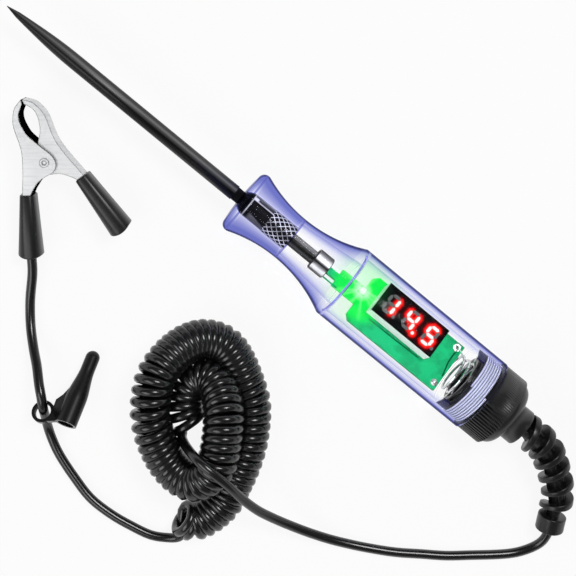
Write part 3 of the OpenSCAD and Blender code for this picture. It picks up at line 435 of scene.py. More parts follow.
def banded_reflection_metal(name, stops, roughness, metallic=0.6, specular=0.8, ends=None):
    """Turned metal with painted reflections in bands round the handle's axis, and painted dark rims at its ends where
    ends are given.
    """
    material, tree, shader = finish(name, metallic=metallic, specular=specular)
    _, x, _, _, angle = across_axis(tree)
    along = node_in(tree, "ShaderNodeCombineXYZ", {0: x}).outputs[0]
    fine = noise(tree, along, 4000)
    # Painted reflections: bands of tone by the angle round the axis
    colour = ramp(tree, upper_half(tree, angle), stops)
    # Painted shade: dark rims at both ends
    if ends:
        inside = band(tree, x, ends[0] + 0.2 * MM, ends[1] - 0.2 * MM, 0.06 * MM)
        colour = blend(tree, inside, (0.01, 0.01, 0.01), colour)
    add_grain(tree, shader, colour, roughness, 2500, 0.12, 0)
    add_bump(tree, shader, fine, 0.1, 0.01)
    return material


def lamp_place():
    """The middle of the lamp."""
    low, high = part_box("status_led")
    return (low + high) / 2


def from_lamp(tree, place):
    """The distance from the lamp."""
    return vector_maths(tree, "DISTANCE", place, lamp_place(), "Value")


def lamp_light(tree, place, colour, reach, power):
    """The lamp's light on what surrounds it, as a colour that fades with distance."""
    far = from_lamp(tree, place)
    share = maths(tree, "POWER", spread(tree, far, reach, 0), power)
    return blend(tree, share, (0, 0, 0), colour)


def board_mask(colours):
    """Green solder mask with faint copper lines under it, and painted light round the lamp: a green pool, star rays and
    a white core that the board gives off itself.
    """
    material, tree, shader = finish("board_mask", specular=0.06, emission=1)
    place, *_ = place_of(tree)
    weave = noise(tree, place, 260)
    deep = tuple(c * 0.72 for c in colours.board)
    colour = blend(tree, spread(tree, weave, 0.45, 0.6), tuple(colours.board), deep)
    # Painted light of the lamp, by distance and angle from it: a pool that also greens the board's colour, a white core
    # and star rays
    far = from_lamp(tree, place)
    painted_pool = spread(tree, far, 11.5 * MM, 7 * MM, smooth=True)
    painted_core = maths(tree, "POWER", spread(tree, far, 3.4 * MM, 0.6 * MM), 1.2)
    add_grain(tree, shader, blend(tree, painted_pool, colour, (0, 0.38, 0.03)), 0.5, 1800, 0.12, 0.05)
    off = vector_maths(tree, "SUBTRACT", place, lamp_place())
    parts = node_in(tree, "ShaderNodeSeparateXYZ", {0: off}).outputs
    angle = maths(tree, "ARCTAN2", parts[1], parts[0])
    painted_rays = []
    for count, turn, sharp in ((4, 0.3, 40), (5, 1.1, 60), (3, 2.2, 90)):
        wave = maths(tree, "COSINE", maths(tree, "ADD", times(tree, angle, count / 2), turn))
        painted_rays.append(maths(tree, "POWER", maths(tree, "ABSOLUTE", wave), sharp))
    ray = maths(tree, "MAXIMUM", maths(tree, "MAXIMUM", painted_rays[0], painted_rays[1]), painted_rays[2])
    ray = times(tree, ray, maths(tree, "POWER", spread(tree, far, 9.5 * MM, 1 * MM), 0.9))
    glow = blend(tree, painted_pool, (0, 0, 0), tuple(c * 0.45 for c in colours.lamp))
    glow = blend(tree, times(tree, ray, 0.85), glow, (0.3, 0.9, 0.35))
    glow = blend(tree, painted_core, glow, (1, 1, 1))
    feed(shader, "Emission Color", glow)
    return material


def clear_shell(colours):
    """Clear plastic with a violet blue tint that gathers where the eye looks through more of it."""
    material, tree, shader = finish("clear_shell", specular=0.5)
    shader.inputs["Transmission Weight"].default_value = 1
    shader.inputs["IOR"].default_value = 1.03
    shader.inputs["Roughness"].default_value = 0.0
    shader.inputs["Coat Roughness"].default_value = 0.05
    place, x, y, up, _ = across_axis(tree)
    facing = node_in(tree, "ShaderNodeLayerWeight", {"Blend": 0.5}).outputs["Facing"]
    geometry = node_in(tree, "ShaderNodeNewGeometry")
    radial = node_in(tree, "ShaderNodeCombineXYZ", {1: y, 2: up}).outputs[0]
    lean = dot(tree, geometry.outputs["Normal"], radial)
    flip = maths(tree, "SUBTRACT", 1, times(tree, geometry.outputs["Backfacing"], 2))
    outer = maths(tree, "GREATER_THAN", times(tree, lean, flip), -0.0005)
    edge, rim = tuple(colours.clear_edge), tuple(colours.clear_rim)
    clear, hint, pale, violet = (1, 1, 1), (0.84, 0.85, 0.97), (0.58, 0.59, 0.87), (0.32, 0.34, 0.72)
    body = ramp(tree, facing, [(0.28, clear), (0.42, hint), (0.52, pale), (0.6, violet), (0.65, edge), (0.69, rim)])
    neck = ramp(tree, facing, [(0.08, clear), (0.18, hint), (0.28, pale), (0.45, violet), (0.58, edge), (0.66, rim)])
    nose = ramp(tree, facing, [(0.04, hint), (0.13, pale), (0.24, violet), (0.4, edge), (0.6, edge), (0.7, rim)])
    inner = ramp(tree, facing, [(0.35, clear), (0.6, hint), (0.85, pale), (0.95, violet)])
    in_nose = spread(tree, x, NOSE_X - 0.5 * MM, NOSE_X + 0.5 * MM)
    in_body = spread(tree, x, BAY_X + 6 * MM, BAY_X - 4 * MM, smooth=True)
    colour = blend(tree, in_nose, blend(tree, in_body, neck, body), nose)
    colour = blend(tree, outer, inner, colour)
    # Painted shade lines where the shell's form turns, on its upper outer side: place, half width and tint
    rings = (
        (FRONT_X - 2.3 * MM, 0.4 * MM, (0.10, 0.12, 0.50)),
        (NOSE_X, 0.32 * MM, (0.09, 0.09, 0.42)),
        (BAY_X, 0.5 * MM, (0.5, 0.5, 0.86)),
    )
    for at, half, tint in rings:
        ring = spread(tree, maths(tree, "ABSOLUTE", maths(tree, "SUBTRACT", x, at)), half, half * 0.6)
        upper = spread(tree, up, -2 * MM, 1 * MM)
        ring = times(tree, times(tree, ring, upper), outer)
        colour = blend(tree, ring, colour, tint)
    # Painted light: the lamp's green tints the shell round it
    near_lamp = spread(tree, from_lamp(tree, place), 15 * MM, 7 * MM, smooth=True)
    colour = blend(tree, near_lamp, colour, blend(tree, 1.0, colour, (0.70, 1.0, 0.76), "MULTIPLY"))
    feed(shader, "Base Color", colour)
    feed(shader, "Coat Weight", spread(tree, facing, 0.35, 0.15, 0, 0.05))
    light_path = node_in(tree, "ShaderNodeLightPath").outputs["Is Shadow Ray"]
    through = node_in(tree, "ShaderNodeBsdfTransparent", {"Color": (0.95, 0.95, 0.99, 1)}).outputs[0]
    mixed = node_in(tree, "ShaderNodeMixShader", {0: light_path, 1: shader.outputs[0], 2: through}).outputs[0]
    tree.links.new(mixed, tree.nodes["Material Output"].inputs["Surface"])
    return material


def lamp_lens(colours):
    """The lamp's lens, white in its middle and green towards its corners."""
    material, tree, shader = finish("lamp_lens", specular=0.1, emission=1)
    place, *_ = place_of(tree)
    across = node_in(tree, "ShaderNodeSeparateXYZ", {0: vector_maths(tree, "SUBTRACT", place, lamp_place())}).outputs
    far = maths(tree, "SQRT", maths(tree, "ADD", times(tree, across[0], across[0]), times(tree, across[1], across[1])))
    share = spread(tree, far, 0, 1.8 * MM)
    white = (1, 1, 1)
    stops = [(0, white), (0.4, white), (0.6, (0.6, 1, 0.66)), (0.8, (0.2, 0.95, 0.28)), (1, tuple(colours.lamp))]
    feed(shader, "Emission Color", ramp(tree, share, stops))
    add_grain(tree, shader, (0.02, 0.05, 0.02), 0.4, 1500, 0.2, 0)
    return material


def display_window(colours):
    """The dark face of the display, with a painted red glow round its lit segments and the lamp's painted green light.
    """
    material, tree, shader = finish("display_window", specular=0.015, emission=1)
    glow = node_in(tree, "ShaderNodeAttribute", attribute_name="glow").outputs["Fac"]
    place, *_ = place_of(tree)
    # Painted light: the lamp's green on the face, and a red glow round the lit segments
    green = lamp_light(tree, place, (0.0, 0.26, 0.06), 9.5 * MM, 1.5)
    stops = [(0, (0, 0, 0)), (0.2, (0.1, 0, 0)), (0.45, (0.7, 0, 0)), (0.7, (1, 0.004, 0.004)), (1, tuple(colours.lit))]
    feed(shader, "Emission Color", blend(tree, 1.0, ramp(tree, glow, stops), green, "ADD"))
    add_grain(tree, shader, (0.002, 0.002, 0.0025), 0.5, 1500, 0.2, 0)
    return material


def lit_material(name, stops, strength):
    """A surface that gives its own light, a little uneven."""
    material, tree, shader = finish(name, specular=0.02, emission=strength)
    place, *_ = place_of(tree)
    patches = noise(tree, place, 400)
    feed(shader, "Emission Color", ramp(tree, patches, stops))
    shader.inputs["Base Color"].default_value = (0.02, 0.02, 0.02, 1)
    return material


def brushed_sheet(name, colours, hollow=0):
    """Nickel plated sheet, brushed, with painted shade lines along its edges, and painted shade inside where hollow
    says which way that faces.
    """
    material, tree, shader = finish(name, metallic=0.5, specular=0 if hollow else 0.4)
    place, *_ = place_of(tree)
    along = dot(tree, place, (-70, -57, 0))
    over = dot(tree, place, (890, -1080, 0))
    brushed = node_in(tree, "ShaderNodeCombineXYZ", {0: along, 1: over}).outputs[0]
    lines = noise(tree, brushed, 1)
    broad = noise(tree, place, 120, 0)
    steel = tuple(colours.steel)
    colour = ramp(tree, lines, [(0.3, tuple(c * 0.9 for c in steel)), (0.5, steel), (0.8, (0.97, 0.97, 0.98))])
    colour = blend(tree, spread(tree, broad, 0.35, 0.65, 0, 0.2), colour, tuple(c * 0.6 for c in steel))
    normal = node_in(tree, "ShaderNodeNewGeometry").outputs["Normal"]
    # Painted shade: black inside the channel and on its floor, which are also duller
    if hollow:
        across = CLIP.to_3x3() @ Vector((0, hollow, 0))
        upward = CLIP.to_3x3() @ Vector((0, 0, 1))
        middle = upward.dot(CLIP.translation)
        low = spread(tree, dot(tree, place, upward), middle + 0.5 * MM, middle - 0.5 * MM)
        floor = times(tree, low, spread(tree, dot(tree, normal, upward), 0.1, 0.4))
        shaded_inside = maths(tree, "MAXIMUM", spread(tree, dot(tree, normal, across), 0.1, 0.4), floor)
        colour = blend(tree, shaded_inside, colour, (0.002, 0.002, 0.002))
        feed(shader, "Metallic", maths(tree, "SUBTRACT", 0.5, times(tree, shaded_inside, 0.5)))
    # Painted shade lines along every sharp edge
    rounded = node_in(tree, "ShaderNodeBevel", {"Radius": 0.42 * MM}, samples=4).outputs[0]
    turned = maths(tree, "SUBTRACT", 1, dot(tree, normal, rounded))
    colour = blend(tree, spread(tree, turned, 0.008, 0.05), colour, (0.012, 0.012, 0.013))
    feed(shader, "Base Color", colour)
    rough = spread(tree, lines, 0.3, 0.7, 0.5, 0.42)
    if hollow:
        rough = maths(tree, "ADD", rough, shaded_inside, clamp=True)
    feed(shader, "Roughness", rough)
    add_bump(tree, shader, lines, 0.04, 0.01)
    return material


def cord_jacket(colours):
    """Smooth black cord jacket with a high shine."""
    return grained("cord_jacket", colours.jacket, 0.22, 900, 0.2, 0.02, specular=0.65)


def soft_rubber(colours):
    """Soft black rubber of the boots and the strain relief."""
    return grained("soft_rubber", colours.rubber, 0.33, 1300, 0.25, 0.05, specular=0.48)


def cover_rubber(colours):
    """The cover's rubber, paler where it is cut off square at its mouth."""
    material, tree, shader = finish("cover_rubber", specular=0.32)
    mouth = Vector((-0.280785, 0.869324, 0.406737))
    normal = node_in(tree, "ShaderNodeNewGeometry").outputs["Normal"]
    square = spread(tree, dot(tree, normal, mouth), 0.9, 0.97)
    add_grain(tree, shader, blend(tree, square, tuple(colours.rubber), (0.3, 0.3, 0.3)), 0.36, 1300, 0.25, 0.05)
    return material


def dress_solids(colours):
    """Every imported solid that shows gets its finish."""
    dress("probe_ferrule", ferrule_steel(colours))
    # Painted reflections on the rod and the cup: bands of dark and bright round the axis
    dark, dim, grey, bright = (0.004, 0.004, 0.004), (0.06, 0.06, 0.065), (0.2, 0.2, 0.21), (0.8, 0.8, 0.82)
    rod = [
        (0.1, dim), (0.2, grey), (0.3, grey), (0.32, dim), (0.35, grey), (0.4, dark), (0.6, dark), (0.7, dim),
        (0.82, dark),
    ]
    dress("contact_rod", banded_reflection_metal("rod_steel", rod, 0.35, metallic=0.2, specular=0.1))
    cup = [
        (0.06, dark), (0.14, dim), (0.25, grey), (0.355, bright), (0.42, bright), (0.485, dim), (0.53, dark),
        (0.6, grey), (0.67, bright), (0.75, bright), (0.8, grey), (0.87, dim), (0.93, dark),
    ]
    ends = [corner[0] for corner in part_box("contact_cup")]
    dress("contact_cup", banded_reflection_metal("cup_chrome", cup, 0.45, metallic=0.3, specular=0.1, ends=ends))
    dress("handle_shell", clear_shell(colours))
    dress("circuit_board", board_mask(colours))
    dress("display_case", grained("case_plastic", (0.93, 0.95, 0.94), 0.45, 1200, 0.15, 0.05))
    lit = [(0, (1, 0.8, 0.78)), (1, (1, 1, 1))]
    dress("lit_segments", lit_material("segment_lit", lit, 1.1))
    # Painted light: the unlit segments give off a faint grey light of their own
    unlit = [(0.3, (0.10, 0.10, 0.105)), (0.7, (0.15, 0.15, 0.155))]
    dress("unlit_segments", lit_material("segment_unlit", unlit, 0.9))
    tin = grained("tinned", (0.75, 0.76, 0.78), 0.25, 900, 0.3, 0.2, metallic=0.85)
    dress("display_pins solder_joints", tin)
    dress("status_led", lamp_lens(colours))
    chip = grained("chip_body", (0.012, 0.012, 0.013), 0.55, 2200, 0.4, 0.2)
    dress("driver_chip voltage_regulator chip_resistors", chip)
    dress("filter_capacitor", grained("capacitor_sleeve", (0.03, 0.035, 0.05), 0.3, 1000, 0.25, 0.08))
    dress("spring_seat", grained("seat_plastic", (0.008, 0.008, 0.009), 0.3, 1200, 0.3, 0.08))
    brass = grained("brass", (0.62, 0.42, 0.14), 0.25, 1500, 0.3, 0.1, metallic=0.9)
    dress("cord_terminal cable_crimp", brass)
    dress("clip_jaw_fixed", brushed_sheet("fixed_sheet", colours, hollow=-1))
    dress("clip_jaw_moving", brushed_sheet("moving_sheet", colours, hollow=1))
    dress("clip_rivet", brushed_sheet("rivet_sheet", colours))
    spring = grained("spring_wire", (0.7, 0.71, 0.73), 0.2, 1800, 0.3, 0.1, metallic=0.9)
    dress("clip_spring clip_spring_leg contact_spring", spring)


# Modelling


def link_new(name, data):
    """A new object in the scene."""
    made = bpy.data.objects.new(name, data)
    bpy.context.scene.collection.objects.link(made)
    return made


def in_part(piece, body, replaces):
    """Says which body a piece rides on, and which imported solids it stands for."""
    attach(piece, body)
    if replaces:
        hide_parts(*replaces)
    return piece


def add_piece(name, bm, material, body="tester", replaces=(), smooth=True, sharp=None):
    """Turns a bmesh into a piece with its body and finish, its edges sharp where they turn by more than an angle."""
    bmesh.ops.recalc_face_normals(bm, faces=bm.faces)
    mesh = bpy.data.meshes.new(name)
    bm.to_mesh(mesh)
    bm.free()
    if smooth:
        mesh.shade_smooth()
    if sharp:
        mesh.set_sharp_from_angle(angle=math.radians(sharp))
    mesh.materials.append(material)
    return in_part(link_new(name, mesh), body, replaces)


def spin(bm, geom, angle, steps, centre=(0, 0, 0), axis=(1, 0, 0), step=0.0):
    """Turns geometry about an axis, with a step along X each time; a full round closes on itself."""
    closes = angle == math.tau and not step
    bmesh.ops.spin(
        bm, geom=geom, cent=centre, axis=axis, dvec=(step, 0, 0), angle=angle, steps=steps, use_merge=closes
    )


def round_edges(bm, edges, offset, segments):
    """Rounds edges, and gives the new faces."""
    result = bmesh.ops.bevel(
        bm, geom=edges, offset=offset, offset_type="OFFSET", affect="EDGES", segments=segments, profile=0.5, material=-1
    )
    return result["faces"]


def in_frame(node, frame_of):
    """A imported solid's lowest and highest corner in another frame."""
    back = frame_of.inverted()
    points = [back @ v.co for v in NODES[node].data.vertices]
    low = Vector([min(p[i] for p in points) for i in range(3)])
    high = Vector([max(p[i] for p in points) for i in range(3)])
    return low, high


def add_wire(name, points, width, material, replaces=()):
    """A round wire through a few points."""
    curve = bpy.data.curves.new(name, "CURVE")
    curve.dimensions = "3D"
    curve.bevel_depth = width / 2
    curve.bevel_resolution = 3
    curve.use_fill_caps = True
    spline = curve.splines.new("POLY")
    spline.points.add(len(points) - 1)
    for point, place in zip(spline.points, points):
        point.co = (*place, 1)
    curve.materials.append(material)
    return in_part(link_new(name, curve), "tester", replaces)


def spline_between(points, steps):
    """A smooth line through points, with steps parts between each two."""
    ends = [2 * points[0] - points[1]] + points + [2 * points[-1] - points[-2]]
    line = []
    for a, b, c, d in zip(ends, ends[1:], ends[2:], ends[3:]):
        line += interpolate_bezier(b, b + (c - a) / 6, c - (d - b) / 6, c, steps + 1)[:-1]
    return line + [points[-1]]


def in_metres(points):
    """Listed millimetres as vectors in metres."""
    return [Vector(p) * MM for p in points]


def lengths_along(line):
    """The distance travelled at each point of a line."""
    along = [0]
    for a, b in zip(line, line[1:]):
        along.append(along[-1] + (b - a).length)
    return along


def even_steps(line, step):
    """The same line with its points an even step apart."""
    along = lengths_along(line)
    count = max(1, round(along[-1] / step))
    result, k = [], 0
    for i in range(count + 1):
        want = along[-1] * i / count
        while k < len(along) - 2 and along[k + 1] < want:
            k += 1
        share = (want - along[k]) / (along[k + 1] - along[k])
        result.append(line[k].lerp(line[k + 1], share))
    return result


def frames_along(line, side):
    """Each point's heading and a sideways vector carried along without twist."""
    found = []
    for before, after in zip(line[:1] + line, line[1:] + line[-1:]):
        heading = (after - before).normalized()
        side = (side - heading * side.dot(heading)).normalized()
        found.append((heading, side.copy()))
    return found


def value_at(pairs, x, eased=True):
    """A value between the pairs of a short list, eased from one to the next or straight."""
    for (x0, y0), (x1, y1) in zip(pairs, pairs[1:]):
        if x <= x1:
            t = (x - x0) / (x1 - x0)
            return y0 + (y1 - y0) * (t * t * (3 - 2 * t) if eased else t)
    return pairs[-1][1]


# Display


def add_display(colours):
    """The display's dark face, with a painted red glow round its segments."""
    low, high = in_frame("display_face", BOARD_TILT)
    lit = NODES["lit_segments"].data
    surface = BVHTree.FromPolygons([v.co for v in lit.vertices], [tuple(p.vertices) for p in lit.polygons])
    size = high - low
    bm = bmesh.new()
    bmesh.ops.create_grid(bm, x_segments=110, y_segments=50, size=0.5)
    bmesh.ops.scale(bm, vec=(size.x, size.y, 1), verts=bm.verts)
    bmesh.ops.translate(bm, vec=(low.x + size.x / 2, low.y + size.y / 2, high.z), verts=bm.verts)
    bmesh.ops.solidify(bm, geom=bm.faces[:], thickness=size.z)
    top = max(v.co.z for v in bm.verts)
    bmesh.ops.translate(bm, vec=(0, 0, high.z - top), verts=bm.verts)
    bmesh.ops.transform(bm, matrix=BOARD_TILT, verts=bm.verts)
    # Painted red glow, fading with distance from the lit segments
    layer = bm.verts.layers.float.new("glow")
    reach = 1.0 * MM
    for v in bm.verts:
        distance = surface.find_nearest(v.co)[3]
        v[layer] = math.exp(-((distance / reach) ** 2) * 1.4)
    add_piece("display_window", bm, display_window(colours), replaces=["display_face"], smooth=False)


class TESTLIGHT_OT_display(bpy.types.Operator):
    """Adds the display's dark face with painted light round its segments"""

    bl_idname = "test_light.add_display"
    bl_label = "Add Display"

    def execute(self, context):
        add_display(context.scene.test_light_colours)
        return {"FINISHED"}


# Thread and inner detail


def add_thread():
    """The moulded thread that shows through the handle where the cap screws in."""
    bore_r = 10.4 * MM
    pitch = 0.8 * MM
    turns = 7
    steps = 72
    start = REAR_X + 6.6 * MM
    bm = bmesh.new()
    profile = [(0, bore_r), (0.33 * MM, bore_r - 0.24 * MM), (0.67 * MM, bore_r)]
    verts = [bm.verts.new((start - along, 0, AXIS_Z + r)) for along, r in profile]
    bm.faces.new(verts)
    everything = bm.verts[:] + bm.edges[:] + bm.faces[:]
    spin(bm, everything, math.tau * turns, steps * turns, (start, 0, AXIS_Z), step=-pitch / steps)
    material = grained("thread_plastic", (0.62, 0.64, 0.88), 0.3, 1500, 0.2, 0.05, specular=0.3)
    add_piece("thread_ridge", bm, material)


class TESTLIGHT_OT_thread(bpy.types.Operator):
    """Adds the thread inside the handle"""

    bl_idname = "test_light.add_thread"
    bl_label = "Add Thread"

    def execute(self, context):
        add_thread()
        return {"FINISHED"}


def add_inner_detail():
    """The wire from the upper pad to the spring, dark lines on the board and the two lugs beside the seat."""
    route = [(-67.5, -6.2, 10.0), (-67.9, -6.35, 11.6), (-68.7, -6.1, 13.4), (-69.6, -5.5, 14.8), (-70.3, -4.9, 15.5)]
    wire = spline_between(in_metres(route), 6)
    add_wire("pad_wire", wire, 0.5 * MM, bpy.data.materials["spring_wire"])
    top = in_frame("circuit_board", BOARD_TILT)[1].z
    dark = grained("trace_green", (0.0, 0.09, 0.03), 0.5, 1800, 0.3, 0.05, specular=0.06)
    green = grained("strip_green", (0.0, 0.3, 0.12), 0.5, 1800, 0.3, 0.05, specular=0.06)
    for name, width, material, points in (
        ("pad_trace", 0.5 * MM, dark, [(-67.9, -5.4), (-67.9, -3.6), (-68.0, -1.5), (-68.5, 0.8), (-69.1, 3.2)]),
        ("display_trace", 0.35 * MM, dark, [(-41, 3.85), (-47, 3.75), (-54, 3.6), (-59.8, 3.5)]),
        ("tongue_strip", 0.5 * MM, green, [(-22.2, 2.75), (-24, 2.75), (-26, 2.78), (-27.6, 2.8)]),
    ):
        line = [BOARD_TILT @ Vector((x * MM, y * MM, top)) for x, y in points]
        add_wire(name, spline_between(line, 6), width, material)
    ring_r = 10.05 * MM
    angles = [math.radians(5 * k) for k in range(-17, 18)]
    arc = [ON_AXIS @ Vector((BAY_X, ring_r * math.sin(a), ring_r * math.cos(a))) for a in angles]
    ring = grained("ring_plastic", (0.36, 0.36, 0.78), 0.35, 1500, 0.2, 0.05, specular=0.3)
    add_wire("shoulder_ring", arc, 0.62 * MM, ring)
    bm = bmesh.new()
    inner, outer, rear, front = 9.7 * MM, 10.35 * MM, -74.95 * MM, -72.5 * MM
    outline = [(rear, inner), (front, inner), (front, outer), (rear, outer)]
    for side in (-1, 1):
        start = Matrix.Rotation(math.radians(-side * 50), 4, "X")
        face = bm.faces.new([bm.verts.new(ON_AXIS @ start @ Vector((x, 0, r))) for x, r in outline])
        geom = list(face.verts) + list(face.edges) + [face]
        spin(bm, geom, math.radians(-side * 28), 10, (0, 0, AXIS_Z))
    lug = grained("lug_plastic", (0.012, 0.012, 0.06), 0.35, 1200, 0.3, 0.05, specular=0.3)
    add_piece("seat_lugs", bm, lug, sharp=30)


class TESTLIGHT_OT_inner_detail(bpy.types.Operator):
    """Adds the wire, the lines on the board and the lugs inside the handle"""

    bl_idname = "test_light.add_inner_detail"
    bl_label = "Add Inner Detail"

    def execute(self, context):
        add_inner_detail()
        return {"FINISHED"}


# Smooth copies, cap and strain relief


def add_smooth_copy(name, node, material, turn=0.0):
    """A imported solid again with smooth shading, and turned about the handle's axis where asked."""
    bm = bmesh.new()
    bm.from_mesh(NODES[node].data)
    bmesh.ops.remove_doubles(bm, verts=bm.verts, dist=0.001 * MM)
    matrix = ON_AXIS @ Matrix.Rotation(turn, 4, "X") @ ON_AXIS.inverted()
    bmesh.ops.transform(bm, matrix=matrix, verts=bm.verts)
    add_piece(name, bm, material, replaces=[node], sharp=30)


class TESTLIGHT_OT_smooth_parts(bpy.types.Operator):
    """Adds the probe's needle and its rubber cover with smooth shading"""

    bl_idname = "test_light.add_smooth_parts"
    bl_label = "Add Needle and Cover"

    def execute(self, context):
        colours = context.scene.test_light_colours
        add_smooth_copy("smooth_needle", "probe_needle", probe_steel(colours))
        add_smooth_copy("smooth_cover", "tip_cover", cover_rubber(colours))
        return {"FINISHED"}


def add_cap():
    """The rear cap, turned so that its ribs lie on the cord's side."""
    material = grained("cap_plastic", (0.007, 0.007, 0.0075), 0.33, 1400, 0.25, 0.05, specular=0.6)
    add_smooth_copy("ribbed_cap", "rear_cap", material, math.radians(72))


def along_route(bm, route):
    """Bends a form that runs along X from zero onto a route."""
    line = even_steps(spline_between(route, 12), 0.25 * MM)
    along = lengths_along(line)
    ways = frames_along(line, Vector((0, 0, 1)))
    step = along[-1] / (len(line) - 1)
    for v in bm.verts:
        at = v.co.x
        if at < 0:
            heading, side = ways[0]
            middle = line[0] + heading * at
        else:
            k = min(int(at / step), len(line) - 2)
            share = min(at / step - k, 1.0)
            middle = line[k].lerp(line[k + 1], share)
            heading, side = ways[k]
        v.co = middle + side * v.co.z + heading.cross(side) * v.co.y


def turned_profile(bm, profile):
    """Spins a closed outline of distance and radius round the X axis."""
    verts = [bm.verts.new((x, 0, r)) for x, r in profile]
    edges = [bm.edges.new((a, b)) for a, b in zip(verts, verts[1:] + verts[:1])]
    spin(bm, verts + edges, math.tau, 32)


def rounded_rim(start, end, inner_r, outer_r, rim):
    """The outline of a ring with rounded outer corners, as distance and radius."""
    line = [(start, inner_r), (start, outer_r - rim)]
    for k in range(1, 4):
        a = math.pi / 2 * k / 3
        line.append((start + rim * (1 - math.cos(a)), outer_r - rim * (1 - math.sin(a))))
    for k in range(0, 4):
        a = math.pi / 2 * k / 3
        line.append((end - rim * (1 - math.sin(a)), outer_r - rim * (1 - math.cos(a))))
    return line + [(end, inner_r)]


def spiral_flange(sizes, width):
    """The flange as a spiral of even pitch, then moved so that its crests fall where FLANGE_CRESTS says."""
    steps, pitch = 40, 5 * MM
    core_r, flange_r = sizes.core_d / 2, sizes.flange_d / 2
    first, last = FLANGE_CRESTS[0][0], FLANGE_CRESTS[-1][0]
    count = round(steps * (last - first))
    flange = bmesh.new()
    start = Matrix.Rotation(-math.tau * first, 4, "X")
    outline = rounded_rim(-width / 2, width / 2, core_r - 0.3 * MM, flange_r, 0.35 * MM)
    flange.faces.new([flange.verts.new(start @ Vector((x, 0, r))) for x, r in outline])
    everything = flange.verts[:] + flange.edges[:] + flange.faces[:]
    spin(flange, everything, -math.tau * count / steps, count, step=pitch / steps)
    narrowing = sizes.flange_end_d / sizes.flange_d - 1
    for v in flange.verts:
        share = math.atan2(v.co.y, v.co.z) / math.tau
        turn = share + round(first + v.co.x / pitch - share)
        from_middle = v.co.x - pitch * (turn - first)
        v.co.x = value_at(FLANGE_CRESTS, turn, eased=False) * MM + from_middle
        if math.hypot(v.co.y, v.co.z) > core_r:
            size = 1 + narrowing * (turn - first) / (last - first)
            v.co.y *= size
            v.co.z *= size
    return flange


def add_nubs(bm, core_r):
    """Small webs on the core's upper side, two between each turn of the flange and the next."""
    places = [s for _, s in FLANGE_CRESTS[1:-1]]
    for a, b in zip([places[0] - 4] + places, places):
        for angle in (-52, 8):
            result = bmesh.ops.create_cube(bm, size=1)["verts"]
            bmesh.ops.scale(bm, vec=((b - a - 1.4) * MM, 0.75 * MM, 1.1 * MM), verts=result)
            edges = list({e for v in result for e in v.link_edges})
            verts = list({v for f in round_edges(bm, edges, 0.18 * MM, 2) for v in f.verts})
            out = Matrix.Translation(((a + b) / 2 * MM, 0, core_r + 0.15 * MM))
            bmesh.ops.transform(bm, matrix=Matrix.Rotation(math.radians(-angle), 4, "X") @ out, verts=verts)


def add_strain_relief(sizes, colours):
    """A rubber core with a spiral flange round it and a plain collar at its end."""
    route = in_metres(RELIEF)
    total = lengths_along(spline_between(route, 12))[-1]
    core_r, hole_r = sizes.core_d / 2, sizes.cord_d * 0.2
    collar_at = total - sizes.collar_len
    bm = bmesh.new()
    turned_profile(
        bm,
        [(-4 * MM, hole_r), (-4 * MM, core_r), (collar_at, core_r)]
        + rounded_rim(collar_at, total, core_r, sizes.collar_d / 2, 0.35 * MM)[1:-1]
        + [(total, hole_r)],
    )
    long_edges = [e for e in bm.edges if abs(e.verts[0].co.x - e.verts[1].co.x) > 2 * MM]
    bmesh.ops.bisect_edges(bm, edges=long_edges, cuts=60)
    add_nubs(bm, core_r)
    flange = spiral_flange(sizes, 2.0 * MM)
    mesh = bpy.data.meshes.new("flange")
    flange.to_mesh(mesh)
    flange.free()
    bm.from_mesh(mesh)
    bpy.data.meshes.remove(mesh)
    along_route(bm, route)
    add_piece("relief_boot", bm, soft_rubber(colours), replaces=["strain_relief"], sharp=40)


class TESTLIGHT_OT_relief(bpy.types.Operator):
    """Adds the rear cap and the strain relief"""

    bl_idname = "test_light.add_relief"
    bl_label = "Add Strain Relief"

    def execute(self, context):
        add_cap()
        add_strain_relief(context.scene.test_light_sizes, context.scene.test_light_colours)
        return {"FINISHED"}


# Clip boots


def on_arm(side, angle):
    """The frame of one clip arm: X out along it from where the boot starts."""
    return (
        CLIP
        @ Matrix.Translation((ARM_START.x, side * ARM_START.y, 0))
        @ Matrix.Rotation(math.pi - side * angle, 4, "Z")
    )


def add_boot(name, side, angle, length, sizes, colours, body, node):
    """A tapered rubber sleeve with a rounded section and a bowed end."""
    bm = bmesh.new()
    lying = Matrix.Rotation(math.pi / 2, 4, "Y")
    bmesh.ops.create_cone(bm, cap_ends=True, segments=64, radius1=0.5, radius2=0.5, depth=1, matrix=lying)
    for v in bm.verts:
        at_end = v.co.x > 0
        width = sizes.boot_rear_w if at_end else sizes.boot_front_w
        c, s = abs(v.co.y) * 2, abs(v.co.z) * 2
        power = 2.6 if at_end else 3.4
        out = (c**power + s**power) ** (-1 / power)
        bow = 0.9 * MM * (v.co.y * 2 * out) ** 2 if at_end else 0
        far = length - bow if at_end else 0
        v.co = Vector((far, v.co.y * out * width, v.co.z * out * sizes.boot_h))
    ends = [f for f in bm.faces if len(f.verts) > 4]
    rims = {e for f in ends for e in f.edges}
    round_edges(bm, list(rims), 0.45 * MM, 3)
    bm.transform(on_arm(side, angle))
    add_piece(name, bm, soft_rubber(colours), body, [node], sharp=50)


class TESTLIGHT_OT_boots(bpy.types.Operator):
    """Adds the rubber boots on both clip arms"""

    bl_idname = "test_light.add_boots"
    bl_label = "Add Boots"

    def execute(self, context):
        sizes, colours = context.scene.test_light_sizes, context.scene.test_light_colours
        add_boot("cord_boot", 1, CORD_ARM_ANGLE, sizes.cord_boot_len, sizes, colours, "tester", "clip_boot_cable")
        add_boot("free_boot", -1, FREE_ARM_ANGLE, sizes.free_boot_len, sizes, colours, "clip_half", "clip_boot_free")
        return {"FINISHED"}


# Cord


